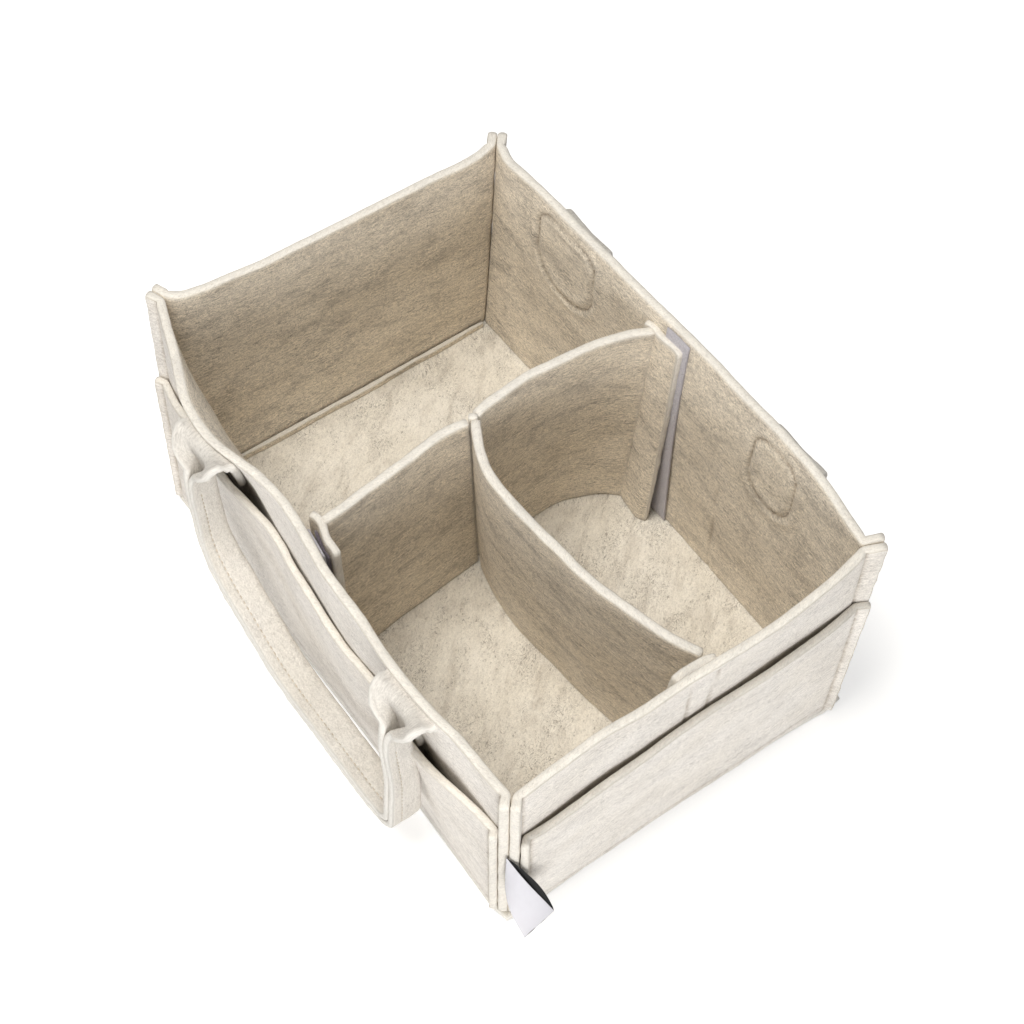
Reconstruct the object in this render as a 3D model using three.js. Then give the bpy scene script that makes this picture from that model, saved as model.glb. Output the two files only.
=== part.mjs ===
import * as THREE from "three";

// An open felt caddy: four leaning walls on a base, outside pockets, two strap handles that hang outside,
// a lift-out T-shaped divider held by hook and loop strips, and a blank ribbon label in one corner seam.
// X runs along the length toward the front end, Y toward the right side, and Z up from the floor.

// Overall sizes of the caddy
const innerLength = 316;
const innerWidth = 210;
const caddyHeight = 168;
const feltThickness = 4.5;
const baseThickness = 4;
const seamGap = 0.3;

// How far each corner leans out at the rim, along X and Y, as shares of the height
const backLeftLeanShares = [-0.042, 0.036];
const backRightLeanShares = [0.036, 0.016];
const frontRightLeanShares = [0.048, -0.016];
const frontLeftLeanShares = [0.107, -0.083];
const cornerLeanPower = 0.8;

// How far each wall bulges outward, as pairs of a share along the wall and a share of the inner width
const leftRimBulgeShares = [[0, 0], [0.22, 0.1], [0.42, 0.038], [0.75, 0.045], [1, 0]];
const frontRimBulgeShares = [[0, 0], [0.25, -0.004], [0.65, 0.022], [1, 0]];
const rightRimBulgeShares = [[0, 0], [0.3, 0.034], [0.5, 0.026], [0.8, 0.006], [1, 0]];
const backRimBulgeShares = [[0, 0], [0.35, -0.032], [0.8, -0.038], [1, 0]];
const leftBaseBulgeShares = [[0, 0], [0.5, -0.008], [1, 0]];
const frontBaseBulgeShares = [[0, 0], [0.5, -0.046], [1, 0]];
const straightShares = [[0, 0], [1, 0]];
const rimBulgePower = 2.5;
const baseBulgePower = 2;

// Corner seams: the two walls' ends turn outward and lie against each other
const flangeLength = 8;

// Heights along a wall where its rows of points lie, as shares of the wall
const levelShares = [0, 0.12, 0.25, 0.37, 0.49, 0.6, 0.71, 0.81, 0.91, 1];
const longWallSteps = 24;
const endWallSteps = 14;

// Outside pockets
const deepPocketShare = 0.71;
const lowPocketShare = 0.49;
const sidePocketSlack = 7;
const endPocketSlack = 8;
const pocketBellyPower = 2;

// Strip along the inside foot of the back wall
const footStripWidth = 4.5;
const footStripHeight = 3;
const footStripEndShare = 0.01;

// Handles: a strap sewn flat on the wall, bent over near the rim and folded lengthwise below the bend
const strapWidth = 42;
const strapThickness = 4.5;
const leftArchRadius = 4;
const rightArchRadius = 2.75;
const leftHingeRise = 2;
const rightHingeRise = -16;
const leftHandleCentre = 16;
const rightHandleCentre = 5;
const handleHalfSpan = 90;
const leftHandleDrop = 128;
const rightHandleDrop = 110;
const backBendRadius = 58;
const frontBendRadius = 14;
const leftFoldStart = 0;
const rightFoldStart = 20;
const foldRunLength = 30;
const sewnShare = 0.9;
const sewnFromShare = 0.7;
const leftLegDropShares = [0.09, 0.17, 0.25, 0.42];
const rightLegDropShares = [0.09, 0.18, 0.28, 0.37, 0.45];
const tuckRunLength = 36;
const patchFootHeight = 97;
const patchLipGap = 1.5;
const patchRowShares = [0, 0.2, 0.4, 0.6, 0.8, 1];
const stripAcrossShares = [-0.5, -0.25, 0, 0.25, 0.5];
const hingeAboveNeck = 2;
const hangingGap = 0.6;
const neckPower = 4;
const archTurnShare = 1.16;
const seatTurnShare = 0.29;
const archSteps = 7;
const bendSteps = 5;

// Divider set
const dividerThickness = 5.5;
const dividerHeight = 158;
const junctionTop = [-13.4, -7.8];
const junctionFoot = [-22.2, 4.1];
const leftEndTopX = -5.5;
const leftEndFootX = -10.5;
const rightEndTopX = -6.5;
const rightEndFootX = -10.8;
const frontEndTopY = 2.7;
const frontEndFootY = 6;
const leftPanelBow = 0.8;
const rightPanelTopBow = -8;
const rightPanelFootBow = -11.5;
const longPanelTopBow = 16.5;
const longPanelFootBow = 9;
const evenBow = 1;
const longPanelBow = 0.8;
const panelSteps = 12;
const panelRows = 6;

// End flaps of the divider, and the strips that hold them
const flapThickness = 4.5;
const panelGap = 0.6;
const flapShortArm = 6.5;
const flapLongArm = 21.5;
const rightFlapSplay = 4;
const hookStart = 3.5;
const hookWidth = 17;
const hookThickness = 1.2;
const hookEndInset = 5;
const loopWidth = 17.5;
const loopThickness = 1.2;
const loopTopInset = 3;
const leftLoopX = 8;
const rightLoopX = 11;
const frontLoopY = -6;
const stripSteps = 3;
const stripRows = 8;

// Ribbon label in the front left corner seam
const labelWidth = 24;
const labelThickness = 1.4;
const labelSeamHeight = 74;
const labelReachX = 26;
const labelFarSwingY = 9;
const labelNearSwingY = -8;
const labelFarDrop = 33;
const labelNearDrop = 24;
const labelArc = 3;
const labelSteps = 6;
const labelMiddleShare = 0.5;

// Felt and ribbon colours
const feltMaterial = () => new THREE.MeshStandardMaterial({ color: 0xe2dccf, roughness: 0.95, metalness: 0 });
const loopMaterial = () => new THREE.MeshStandardMaterial({ color: 0xc6c4c8, roughness: 0.9, metalness: 0 });
const hookMaterial = () => new THREE.MeshStandardMaterial({ color: 0x6b6870, roughness: 0.8, metalness: 0 });
const labelMaterial = () => new THREE.MeshStandardMaterial({ color: 0xf0f0f2, roughness: 0.7, metalness: 0 });

const wallFoot = baseThickness + seamGap;
const wallRise = caddyHeight - wallFoot;
const faceInset = seamGap / 2;
const wallDepth = faceInset + feltThickness;
const caddy = new THREE.Group();

function addMesh(name, geometry, material) {
  const mesh = new THREE.Mesh(geometry, material);
  mesh.name = name;
  caddy.add(mesh);
  return mesh;
}

// A closed solid between two faces, each a list of rows with as many points as the other
function sheetSolid(front, back) {
  const rows = front.length;
  const columns = front[0].length;
  const points = [...front.flat(), ...back.flat()];
  const index = [];
  const at = (side, row, column) => side * rows * columns + row * columns + column;
  const quad = (a, b, c, d) => index.push(a, b, c, a, c, d);
  for (let row = 0; row + 1 < rows; row += 1) {
    for (let column = 0; column + 1 < columns; column += 1) {
      quad(at(0, row, column), at(0, row, column + 1), at(0, row + 1, column + 1), at(0, row + 1, column));
      quad(at(1, row, column), at(1, row + 1, column), at(1, row + 1, column + 1), at(1, row, column + 1));
    }
    const last = columns - 1;
    quad(at(0, row, 0), at(0, row + 1, 0), at(1, row + 1, 0), at(1, row, 0));
    quad(at(0, row, last), at(1, row, last), at(1, row + 1, last), at(0, row + 1, last));
  }
  for (let column = 0; column + 1 < columns; column += 1) {
    const top = rows - 1;
    quad(at(0, 0, column), at(1, 0, column), at(1, 0, column + 1), at(0, 0, column + 1));
    quad(at(0, top, column), at(0, top, column + 1), at(1, top, column + 1), at(1, top, column));
  }
  let volume = 0;
  for (let i = 0; i < index.length; i += 3) {
    const [a, b, c] = [points[index[i]], points[index[i + 1]], points[index[i + 2]]];
    volume += a.dot(b.clone().cross(c));
  }
  if (volume < 0) {
    index.reverse();
  }
  const geometry = new THREE.BufferGeometry().setFromPoints(points);
  geometry.setIndex(index);
  geometry.computeVertexNormals();
  return geometry;
}

// A smooth value between listed pairs of place and amount
function eased(pairs, place) {
  const next = Math.max(1, pairs.findIndex(([share]) => share >= place));
  const [startShare, startAmount] = pairs[next - 1];
  const [endShare, endAmount] = pairs[next];
  return startAmount + (endAmount - startAmount) * THREE.MathUtils.smoothstep(place, startShare, endShare);
}

// Corners of the walls' inner faces
const corners = {
  backLeft: { signs: [-1, -1], leanShares: backLeftLeanShares },
  frontLeft: { signs: [1, -1], leanShares: frontLeftLeanShares },
  frontRight: { signs: [1, 1], leanShares: frontRightLeanShares },
  backRight: { signs: [-1, 1], leanShares: backRightLeanShares },
};

function cornerPoint(corner, rise) {
  const lean = caddyHeight * Math.pow(rise, cornerLeanPower);
  return new THREE.Vector2(
    (corner.signs[0] * innerLength) / 2 + corner.leanShares[0] * lean,
    (corner.signs[1] * innerWidth) / 2 + corner.leanShares[1] * lean,
  );
}

function cornerOutward(corner) {
  return new THREE.Vector2(...corner.signs).normalize();
}

// Walls run around the caddy from corner to corner, with the outside on the right hand
const walls = {
  left: {
    from: corners.backLeft,
    to: corners.frontLeft,
    rimShares: leftRimBulgeShares,
    baseShares: leftBaseBulgeShares,
    steps: longWallSteps,
  },
  front: {
    from: corners.frontLeft,
    to: corners.frontRight,
    rimShares: frontRimBulgeShares,
    baseShares: frontBaseBulgeShares,
    steps: endWallSteps,
  },
  right: {
    from: corners.frontRight,
    to: corners.backRight,
    rimShares: rightRimBulgeShares,
    baseShares: straightShares,
    steps: longWallSteps,
  },
  back: {
    from: corners.backRight,
    to: corners.backLeft,
    rimShares: backRimBulgeShares,
    baseShares: straightShares,
    steps: endWallSteps,
  },
};

const rightHand = (vector) => new THREE.Vector2(vector.y, -vector.x);

function chordNormal(wall, rise) {
  return rightHand(cornerPoint(wall.to, rise).sub(cornerPoint(wall.from, rise)).normalize());
}

// How far a wall bulges at a share along it, straight between its upright rows of points
function bulgeAt(wall, pairs, along) {
  const row = Math.min(wall.steps - 1, Math.max(0, Math.floor(along * wall.steps)));
  const start = eased(pairs, row / wall.steps);
  const end = eased(pairs, (row + 1) / wall.steps);
  return start + (end - start) * (along * wall.steps - row);
}

// A point of the wall's inner line, at a share along it and a share of its rise
function linePoint(wall, along, rise) {
  const rimPart = bulgeAt(wall, wall.rimShares, along) * Math.pow(rise, rimBulgePower);
  const basePart = bulgeAt(wall, wall.baseShares, along) * Math.pow(1 - rise, baseBulgePower);
  return cornerPoint(wall.from, rise)
    .lerp(cornerPoint(wall.to, rise), along)
    .addScaledVector(chordNormal(wall, rise), innerWidth * (rimPart + basePart));
}

// A point at a depth outward from the wall's inner line
function wallPoint(wall, along, rise, depth) {
  const reach = 1 / wall.steps / 2;
  const before = linePoint(wall, Math.max(0, along - reach), rise);
  const after = linePoint(wall, Math.min(1, along + reach), rise);
  const outward = rightHand(after.sub(before).normalize());
  return linePoint(wall, along, rise).addScaledVector(outward, depth);
}

const wallHeight = (rise) => wallFoot + wallRise * rise;
const stand = (point, height) => new THREE.Vector3(point.x, point.y, height);

// The end of a wall's row at one corner: the bend point and the tip of the turned-out flange
function flangePoints(wall, corner, rise, depth) {
  const outward = cornerOutward(corner);
  const travel = corner === wall.to ? outward.clone() : outward.clone().negate();
  const flangeNormal = rightHand(travel);
  const spanNormal = chordNormal(wall, rise);
  const mitre = flangeNormal.clone().add(spanNormal).divideScalar(1 + flangeNormal.dot(spanNormal));
  const bend = cornerPoint(corner, rise).addScaledVector(mitre, depth);
  const tip = cornerPoint(corner, rise).addScaledVector(outward, flangeLength).addScaledVector(flangeNormal, depth);
  return { bend, tip };
}

function wallRow(wall, rise, depth) {
  const start = flangePoints(wall, wall.from, rise, depth);
  const end = flangePoints(wall, wall.to, rise, depth);
  const span = [];
  for (let step = 1; step < wall.steps; step += 1) {
    span.push(wallPoint(wall, step / wall.steps, rise, depth));
  }
  return [start.tip, start.bend, ...span, end.bend, end.tip].map((point) => stand(point, wallHeight(rise)));
}

function wallSolid(wall) {
  const face = (depth) => levelShares.map((rise) => wallRow(wall, rise, depth));
  return sheetSolid(face(faceInset), face(wallDepth));
}

// The base reaches under the walls, their corner seams and the pockets
function basePanel() {
  const depth = wallDepth + seamGap + feltThickness;
  const outline = Object.values(walls).flatMap((wall) => {
    const points = [];
    for (let step = 0; step <= wall.steps; step += 1) {
      points.push(wallPoint(wall, step / wall.steps, 0, depth));
    }
    points.push(cornerPoint(wall.to, 0).addScaledVector(cornerOutward(wall.to), flangeLength + wallDepth / 2));
    return points;
  });
  return new THREE.ExtrudeGeometry(new THREE.Shape(outline), { depth: baseThickness, bevelEnabled: false });
}

function footStrip() {
  const wall = walls.back;
  const rowAt = (depth, height) => {
    const row = [];
    for (let step = 0; step <= wall.steps; step += 1) {
      const along = THREE.MathUtils.clamp(step / wall.steps, footStripEndShare, 1 - footStripEndShare);
      row.push(stand(wallPoint(wall, along, 0, faceInset - seamGap - depth), height));
    }
    return row;
  };
  const face = (depth) => [rowAt(depth, wallFoot), rowAt(depth, wallFoot + footStripHeight)];
  return sheetSolid(face(0), face(footStripWidth));
}

// Where a wall is crossed at a given X, for the long walls, or Y, for the end walls
function alongAt(wall, place, axis, rise) {
  const start = cornerPoint(wall.from, rise)[axis];
  const end = cornerPoint(wall.to, rise)[axis];
  return (place - start) / (end - start);
}

// Handles hang outside the two long walls, each from two legs
const handles = {
  left: {
    wall: walls.left,
    side: -1,
    legs: [leftHandleCentre - handleHalfSpan, leftHandleCentre + handleHalfSpan],
    archRadius: leftArchRadius,
    hingeHeight: caddyHeight + leftHingeRise,
    drop: leftHandleDrop,
    foldStart: leftFoldStart,
    legDropShares: leftLegDropShares,
  },
  right: {
    wall: walls.right,
    side: 1,
    legs: [rightHandleCentre - handleHalfSpan, rightHandleCentre + handleHalfSpan],
    archRadius: rightArchRadius,
    hingeHeight: caddyHeight + rightHingeRise,
    drop: rightHandleDrop,
    foldStart: rightFoldStart,
    legDropShares: rightLegDropShares,
  },
};

// Pockets: a second sheet outside a wall, sewn at its foot, its ends and under the handle legs
const pinsUnder = (handle, topShare) =>
  handle.legs.map((leg) => alongAt(handle.wall, leg, "x", topShare)).sort((a, b) => a - b);
const pockets = {
  left: {
    wall: walls.left,
    topShare: deepPocketShare,
    slack: sidePocketSlack,
    pins: pinsUnder(handles.left, deepPocketShare),
  },
  front: { wall: walls.front, topShare: deepPocketShare, slack: endPocketSlack, pins: [] },
  right: {
    wall: walls.right,
    topShare: lowPocketShare,
    slack: sidePocketSlack,
    pins: pinsUnder(handles.right, lowPocketShare),
  },
  back: { wall: walls.back, topShare: deepPocketShare, slack: endPocketSlack, pins: [] },
};
handles.left.pocket = pockets.left;
handles.right.pocket = pockets.right;

function pocketSlackAt(pocket, along, rise) {
  const belly = 1 - Math.pow(1 - rise / pocket.topShare, pocketBellyPower);
  const stops = [0, ...pocket.pins, 1];
  const bay = Math.max(1, stops.findIndex((stop) => along <= stop));
  const inBay = THREE.MathUtils.clamp((along - stops[bay - 1]) / (stops[bay] - stops[bay - 1]), 0, 1);
  return pocket.slack * belly * Math.sqrt(Math.sin(Math.PI * inBay));
}

function pocketSolid(pocket) {
  const { wall } = pocket;
  const levels = levelShares.filter((rise) => rise <= pocket.topShare);
  const rowAt = (rise, depth) => {
    const row = [flangePoints(wall, wall.from, rise, depth).bend];
    for (let step = 1; step < wall.steps; step += 1) {
      const along = step / wall.steps;
      row.push(wallPoint(wall, along, rise, depth + pocketSlackAt(pocket, along, rise)));
    }
    row.push(flangePoints(wall, wall.to, rise, depth).bend);
    return row.map((point) => stand(point, wallHeight(rise)));
  };
  const face = (depth) => levels.map((rise) => rowAt(rise, wallDepth + seamGap + depth));
  return sheetSolid(face(0), face(feltThickness));
}

const archTurn = archTurnShare * Math.PI;
const seatTurn = seatTurnShare * Math.PI;
const archOuterRadius = (handle) => handle.archRadius + strapThickness / 2;
const archInnerRadius = (handle) => handle.archRadius - strapThickness / 2;
const lipHeightOf = (handle) => wallHeight(handle.pocket.topShare);

function stripPlaces(middle) {
  return stripAcrossShares.map((share) => middle + share * strapWidth);
}

// Distance of a long wall's outer face from the caddy's long middle plane
function outerReach(wall, x, height) {
  const rise = (height - wallFoot) / wallRise;
  return Math.abs(wallPoint(wall, alongAt(wall, x, "x", rise), rise, wallDepth).y);
}

// The same for the outer face of its pocket
function pocketReach(handle, x, height) {
  const rise = (height - wallFoot) / wallRise;
  const along = alongAt(handle.wall, x, "x", rise);
  return outerReach(handle.wall, x, height) + seamGap + pocketSlackAt(handle.pocket, along, rise) + feltThickness;
}

function neckReach(handle) {
  const places = handle.legs.flatMap(stripPlaces);
  return Math.max(...places.map((x) => outerReach(handle.wall, x, caddyHeight))) + seamGap;
}

const hingeReach = (handle) => neckReach(handle) + archOuterRadius(handle);

// The sewn end of a handle: flat on the wall, up to the bend and over in a little more than a half ring
function patchSolid(handle, middle) {
  const neck = neckReach(handle);
  const hinge = hingeReach(handle);
  const foot = Math.max(patchFootHeight, lipHeightOf(handle) + patchLipGap);
  const neckHeight = handle.hingeHeight - hingeAboveNeck;
  const places = stripPlaces(middle);
  const bound = [];
  const free = [];
  patchRowShares.forEach((share) => {
    const height = foot + (neckHeight - foot) * share;
    const reach = (x) => {
      const seated = outerReach(handle.wall, x, height) + seamGap;
      return seated + (neck - seated) * Math.pow(share, neckPower);
    };
    bound.push(places.map((x) => new THREE.Vector3(x, handle.side * reach(x), height)));
    free.push(places.map((x) => new THREE.Vector3(x, handle.side * (reach(x) + strapThickness), height)));
  });
  for (let step = 0; step <= archSteps; step += 1) {
    const turn = (archTurn * step) / archSteps;
    const ring = (radius) => {
      const y = handle.side * (hinge - radius * Math.cos(turn));
      return places.map((x) => new THREE.Vector3(x, y, handle.hingeHeight + radius * Math.sin(turn)));
    };
    bound.push(ring(archOuterRadius(handle)));
    free.push(ring(archInnerRadius(handle)));
  }
  return sheetSolid(bound, free);
}

// Section of the folding strap: a spine and two leaves that close from flat to side by side and are sewn
const spineHalf = (strapThickness + seamGap) / 2;
const leafLength = strapWidth / 2 - spineHalf;

function strapSection(fold) {
  const angle = (fold * Math.PI) / 2;
  const half = strapThickness / 2;
  const shift = half * Math.tan(angle / 2);
  const across = spineHalf + leafLength * Math.cos(angle);
  const out = half + leafLength * Math.sin(angle);
  const sewn = sewnShare * THREE.MathUtils.smoothstep(fold, sewnFromShare, 1);
  const wallSide = [
    [across + half * Math.sin(angle), out - half * Math.cos(angle)],
    [spineHalf + shift, 0],
  ];
  const openSide = [
    [across - half * Math.sin(angle), out + half * Math.cos(angle)],
    [spineHalf - shift, strapThickness + (leafLength - half) * sewn],
  ];
  const bothSides = (pair) => [...pair, ...pair.map(([offset, depth]) => [-offset, depth]).reverse()];
  return { wallSide: bothSides(wallSide), openSide: bothSides(openSide) };
}

// Middle line of a hanging strap: down the back leg, round two bends and up the front leg
function strapPath(handle) {
  const [backX, frontX] = handle.legs;
  const foot = handle.hingeHeight - handle.drop;
  const heights = handle.legDropShares.map((share) => handle.hingeHeight - share * handle.drop);
  const places = heights.map((z) => ({ x: backX, z, angle: -Math.PI / 2 }));
  for (let step = 0; step <= bendSteps; step += 1) {
    const angle = (-Math.PI / 2) * (1 - step / bendSteps);
    const x = backX + backBendRadius * (1 + Math.sin(angle));
    places.push({ x, z: foot + backBendRadius * (1 - Math.cos(angle)), angle });
  }
  for (let step = 0; step <= bendSteps; step += 1) {
    const angle = ((Math.PI / 2) * step) / bendSteps;
    const x = frontX - frontBendRadius * (1 - Math.sin(angle));
    places.push({ x, z: foot + frontBendRadius * (1 - Math.cos(angle)), angle });
  }
  return [...places, ...heights.reverse().map((z) => ({ x: frontX, z, angle: Math.PI / 2 }))];
}

// How far out the hanging strap's wall side lies, clear of the patches and the pocket behind it
function hangingReach(handle) {
  const tuckedHeight = handle.hingeHeight - tuckRunLength;
  const patches = handle.legs.flatMap(stripPlaces);
  const bandHalf = spineHalf + strapThickness / 2;
  const band = strapPath(handle).flatMap(({ x, z }) => [
    [x - bandHalf, z],
    [x, z - bandHalf],
    [x, z + bandHalf],
    [x + bandHalf, z],
  ]);
  const lip = lipHeightOf(handle);
  const overPatches = patches.map((x) => outerReach(handle.wall, x, tuckedHeight) + seamGap + strapThickness);
  const overPocket = band.map(([x, z]) => pocketReach(handle, x, Math.min(z, lip)));
  return Math.max(...overPatches, ...overPocket) + hangingGap;
}

function strapSolid(handle) {
  const hinge = hingeReach(handle);
  const low = hangingReach(handle);
  const top = hinge + archInnerRadius(handle);
  const seatRadius = archOuterRadius(handle) + seamGap;
  const wallFace = [];
  const openFace = [];
  const addRow = (place, fold, reach, seated) => {
    const section = strapSection(fold);
    const point = ([offset, out]) => {
      const y = reach + out;
      const seatDrop = (seatRadius - (y - hinge) * Math.cos(seatTurn)) / Math.sin(seatTurn);
      const seat = handle.hingeHeight - seatDrop;
      const z = seated ? seat : place.z + Math.cos(place.angle) * offset;
      return new THREE.Vector3(place.x - Math.sin(place.angle) * offset, handle.side * y, z);
    };
    wallFace.push(section.wallSide.map(point));
    openFace.push(section.openSide.map(point));
  };
  const path = strapPath(handle);
  addRow(path[0], 0, top, true);
  path.forEach((place) => {
    const drop = handle.hingeHeight - place.z;
    const fold = THREE.MathUtils.smoothstep(drop, handle.foldStart, handle.foldStart + foldRunLength);
    addRow(place, fold, top + (low - top) * THREE.MathUtils.smoothstep(drop, 0, tuckRunLength), false);
  });
  addRow(path.at(-1), 0, top, true);
  return sheetSolid(wallFace, openFace);
}

// The divider's end flaps stand in front of the hook strips, and those in front of the walls' loop strips
const dividerFoot = baseThickness + seamGap;
const dividerSpan = dividerHeight - dividerFoot;
const loopInset = seamGap;
const hookInset = loopInset + loopThickness + seamGap;
const flapInset = hookInset + hookThickness + seamGap;
const panelInset = flapInset + flapThickness + panelGap;
const levelHeight = (level) => dividerFoot + dividerSpan * level;
const mix = (foot, top, level) => foot + (top - foot) * level;

// A point in front of a wall's inner face, at a place along X or Y and a height
function facePoint(wall, axis, place, height, inset) {
  const rise = (height - wallFoot) / wallRise;
  return wallPoint(wall, alongAt(wall, place, axis, rise), rise, faceInset - inset);
}

const splayAt = (splay, height) => splay * (1 - (height - dividerFoot) / dividerSpan);

// The divider's three ends, each at a place along the wall it meets
const ends = {
  left: { wall: walls.left, axis: "x", foot: leftEndFootX, top: leftEndTopX, splay: 0, arms: 1 },
  right: { wall: walls.right, axis: "x", foot: rightEndFootX, top: rightEndTopX, splay: rightFlapSplay, arms: 1 },
  front: { wall: walls.front, axis: "y", foot: frontEndFootY, top: frontEndTopY, splay: 0, arms: -1 },
};
const placeAt = (end, height) => mix(end.foot, end.top, (height - dividerFoot) / dividerSpan);

function endPoint(end, level) {
  const height = levelHeight(level);
  const place = placeAt(end, height);
  const face = facePoint(end.wall, end.axis, place, height, panelInset + splayAt(end.splay, height));
  return end.axis === "x" ? new THREE.Vector2(place, face.y) : new THREE.Vector2(face.x, place);
}

function junctionPoint(level, shiftX, shiftY) {
  return new THREE.Vector2(
    mix(junctionFoot[0], junctionTop[0], level) + shiftX,
    mix(junctionFoot[1], junctionTop[1], level) + shiftY,
  );
}

// A bowed panel from the junction to one end, with its junction end cut square to an axis
function panelSolid(panel) {
  const half = dividerThickness / 2;
  const rowAt = (level, sign) => {
    const from = junctionPoint(level, ...panel.shift);
    const to = endPoint(panel.end, level);
    const across = rightHand(to.clone().sub(from).normalize());
    const bow = mix(panel.footBow, panel.topBow, level);
    const lineAt = (along) =>
      from
        .clone()
        .lerp(to, along)
        .addScaledVector(across, bow * Math.sin(Math.PI * Math.pow(along, panel.bowPower)));
    const row = [];
    for (let step = 0; step <= panelSteps; step += 1) {
      const along = step / panelSteps;
      const reach = 1 / panelSteps / 2;
      const ahead = lineAt(Math.min(1, along + reach)).sub(lineAt(Math.max(0, along - reach)));
      const normal = step === 0 ? panel.square : step === panelSteps ? across : rightHand(ahead.normalize());
      row.push(stand(lineAt(along).addScaledVector(normal, sign * half), levelHeight(level)));
    }
    return row;
  };
  const face = (sign) => {
    const rows = [];
    for (let row = 0; row <= panelRows; row += 1) {
      rows.push(rowAt(row / panelRows, sign));
    }
    return rows;
  };
  return sheetSolid(face(-1), face(1));
}

const panels = {
  left: {
    end: ends.left,
    shift: [0, -seamGap],
    square: new THREE.Vector2(-1, 0),
    footBow: leftPanelBow,
    topBow: leftPanelBow,
    bowPower: evenBow,
  },
  right: {
    end: ends.right,
    shift: [0, seamGap],
    square: new THREE.Vector2(1, 0),
    footBow: rightPanelFootBow,
    topBow: rightPanelTopBow,
    bowPower: evenBow,
  },
  long: {
    end: ends.front,
    shift: [dividerThickness / 2 + panelGap, 0],
    square: new THREE.Vector2(0, -1),
    footBow: longPanelFootBow,
    topBow: longPanelTopBow,
    bowPower: longPanelBow,
  },
};

// A strip standing in front of a wall, between two places measured from its middle
function standingStrip(strip) {
  const { wall, axis, from, to, foot, top, inset, thickness } = strip;
  const face = (depth) => {
    const rows = [];
    for (let row = 0; row <= stripRows; row += 1) {
      const height = foot + ((top - foot) * row) / stripRows;
      const points = [];
      for (let step = 0; step <= stripSteps; step += 1) {
        const place = strip.middle(height) + from + ((to - from) * step) / stripSteps;
        points.push(stand(facePoint(wall, axis, place, height, inset + strip.splay(height) + depth), height));
      }
      rows.push(points);
    }
    return rows;
  };
  return sheetSolid(face(0), face(thickness));
}

function flapSolid(end) {
  return standingStrip({
    wall: end.wall,
    axis: end.axis,
    middle: (height) => placeAt(end, height),
    from: -flapShortArm * end.arms,
    to: flapLongArm * end.arms,
    foot: dividerFoot,
    top: dividerHeight,
    inset: flapInset,
    thickness: flapThickness,
    splay: (height) => splayAt(end.splay, height),
  });
}

function hookSolid(end) {
  return standingStrip({
    wall: end.wall,
    axis: end.axis,
    middle: (height) => placeAt(end, height),
    from: hookStart * end.arms,
    to: (hookStart + hookWidth) * end.arms,
    foot: dividerFoot + hookEndInset,
    top: dividerHeight - hookEndInset,
    inset: hookInset,
    thickness: hookThickness,
    splay: (height) => splayAt(end.splay, height),
  });
}

function loopSolid(end, centre) {
  return standingStrip({
    wall: end.wall,
    axis: end.axis,
    middle: () => centre,
    from: -loopWidth / 2,
    to: loopWidth / 2,
    foot: wallFoot,
    top: caddyHeight - loopTopInset,
    inset: loopInset,
    thickness: loopThickness,
    splay: () => 0,
  });
}

// Ribbon label: sewn upright in the front left seam, drooping and turning flat at its folded end
function labelSolid() {
  const seam = (height) => {
    const corner = corners.frontLeft;
    const reach = flangeLength + seamGap + labelThickness / 2;
    const point = cornerPoint(corner, (height - wallFoot) / wallRise);
    return stand(point.addScaledVector(cornerOutward(corner), reach), height);
  };
  const start = [seam(labelSeamHeight), seam(labelSeamHeight + labelWidth)];
  const end = [
    start[0].clone().add(new THREE.Vector3(labelReachX, labelNearSwingY, -labelNearDrop)),
    start[1].clone().add(new THREE.Vector3(labelReachX, labelFarSwingY, -labelFarDrop)),
  ];
  const middleRow = (along) => {
    const arc = new THREE.Vector3(0, 0, labelArc * Math.sin(Math.PI * along));
    const [low, high] = start.map((point, side) => point.clone().lerp(end[side], along).add(arc));
    return [low, low.clone().lerp(high, labelMiddleShare), high];
  };
  const face = (sign) => {
    const rows = [];
    for (let step = 0; step <= labelSteps; step += 1) {
      const row = middleRow(step / labelSteps);
      const travel = middleRow((step + 1) / labelSteps)[1].sub(row[1]);
      const normal = row[2].clone().sub(row[0]).cross(travel).normalize();
      rows.push(row.map((point) => point.addScaledVector(normal, (sign * labelThickness) / 2)));
    }
    return rows;
  };
  return sheetSolid(face(-1), face(1));
}

addMesh("base_panel", basePanel(), feltMaterial());
addMesh("long_wall_left", wallSolid(walls.left), feltMaterial());
addMesh("end_wall_front", wallSolid(walls.front), feltMaterial());
addMesh("long_wall_right", wallSolid(walls.right), feltMaterial());
addMesh("end_wall_back", wallSolid(walls.back), feltMaterial());
addMesh("back_foot_strip", footStrip(), feltMaterial());
addMesh("pocket_left", pocketSolid(pockets.left), feltMaterial());
addMesh("pocket_front", pocketSolid(pockets.front), feltMaterial());
addMesh("pocket_right", pocketSolid(pockets.right), feltMaterial());
addMesh("pocket_back", pocketSolid(pockets.back), feltMaterial());
addMesh("handle_left_patch_back", patchSolid(handles.left, handles.left.legs[0]), feltMaterial());
addMesh("handle_left_patch_front", patchSolid(handles.left, handles.left.legs[1]), feltMaterial());
addMesh("handle_left", strapSolid(handles.left), feltMaterial());
addMesh("handle_right_patch_back", patchSolid(handles.right, handles.right.legs[0]), feltMaterial());
addMesh("handle_right_patch_front", patchSolid(handles.right, handles.right.legs[1]), feltMaterial());
addMesh("handle_right", strapSolid(handles.right), feltMaterial());
addMesh("divider_cross_left", panelSolid(panels.left), feltMaterial());
addMesh("divider_cross_right", panelSolid(panels.right), feltMaterial());
addMesh("divider_long", panelSolid(panels.long), feltMaterial());
addMesh("divider_flap_left", flapSolid(ends.left), feltMaterial());
addMesh("divider_flap_right", flapSolid(ends.right), feltMaterial());
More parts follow.
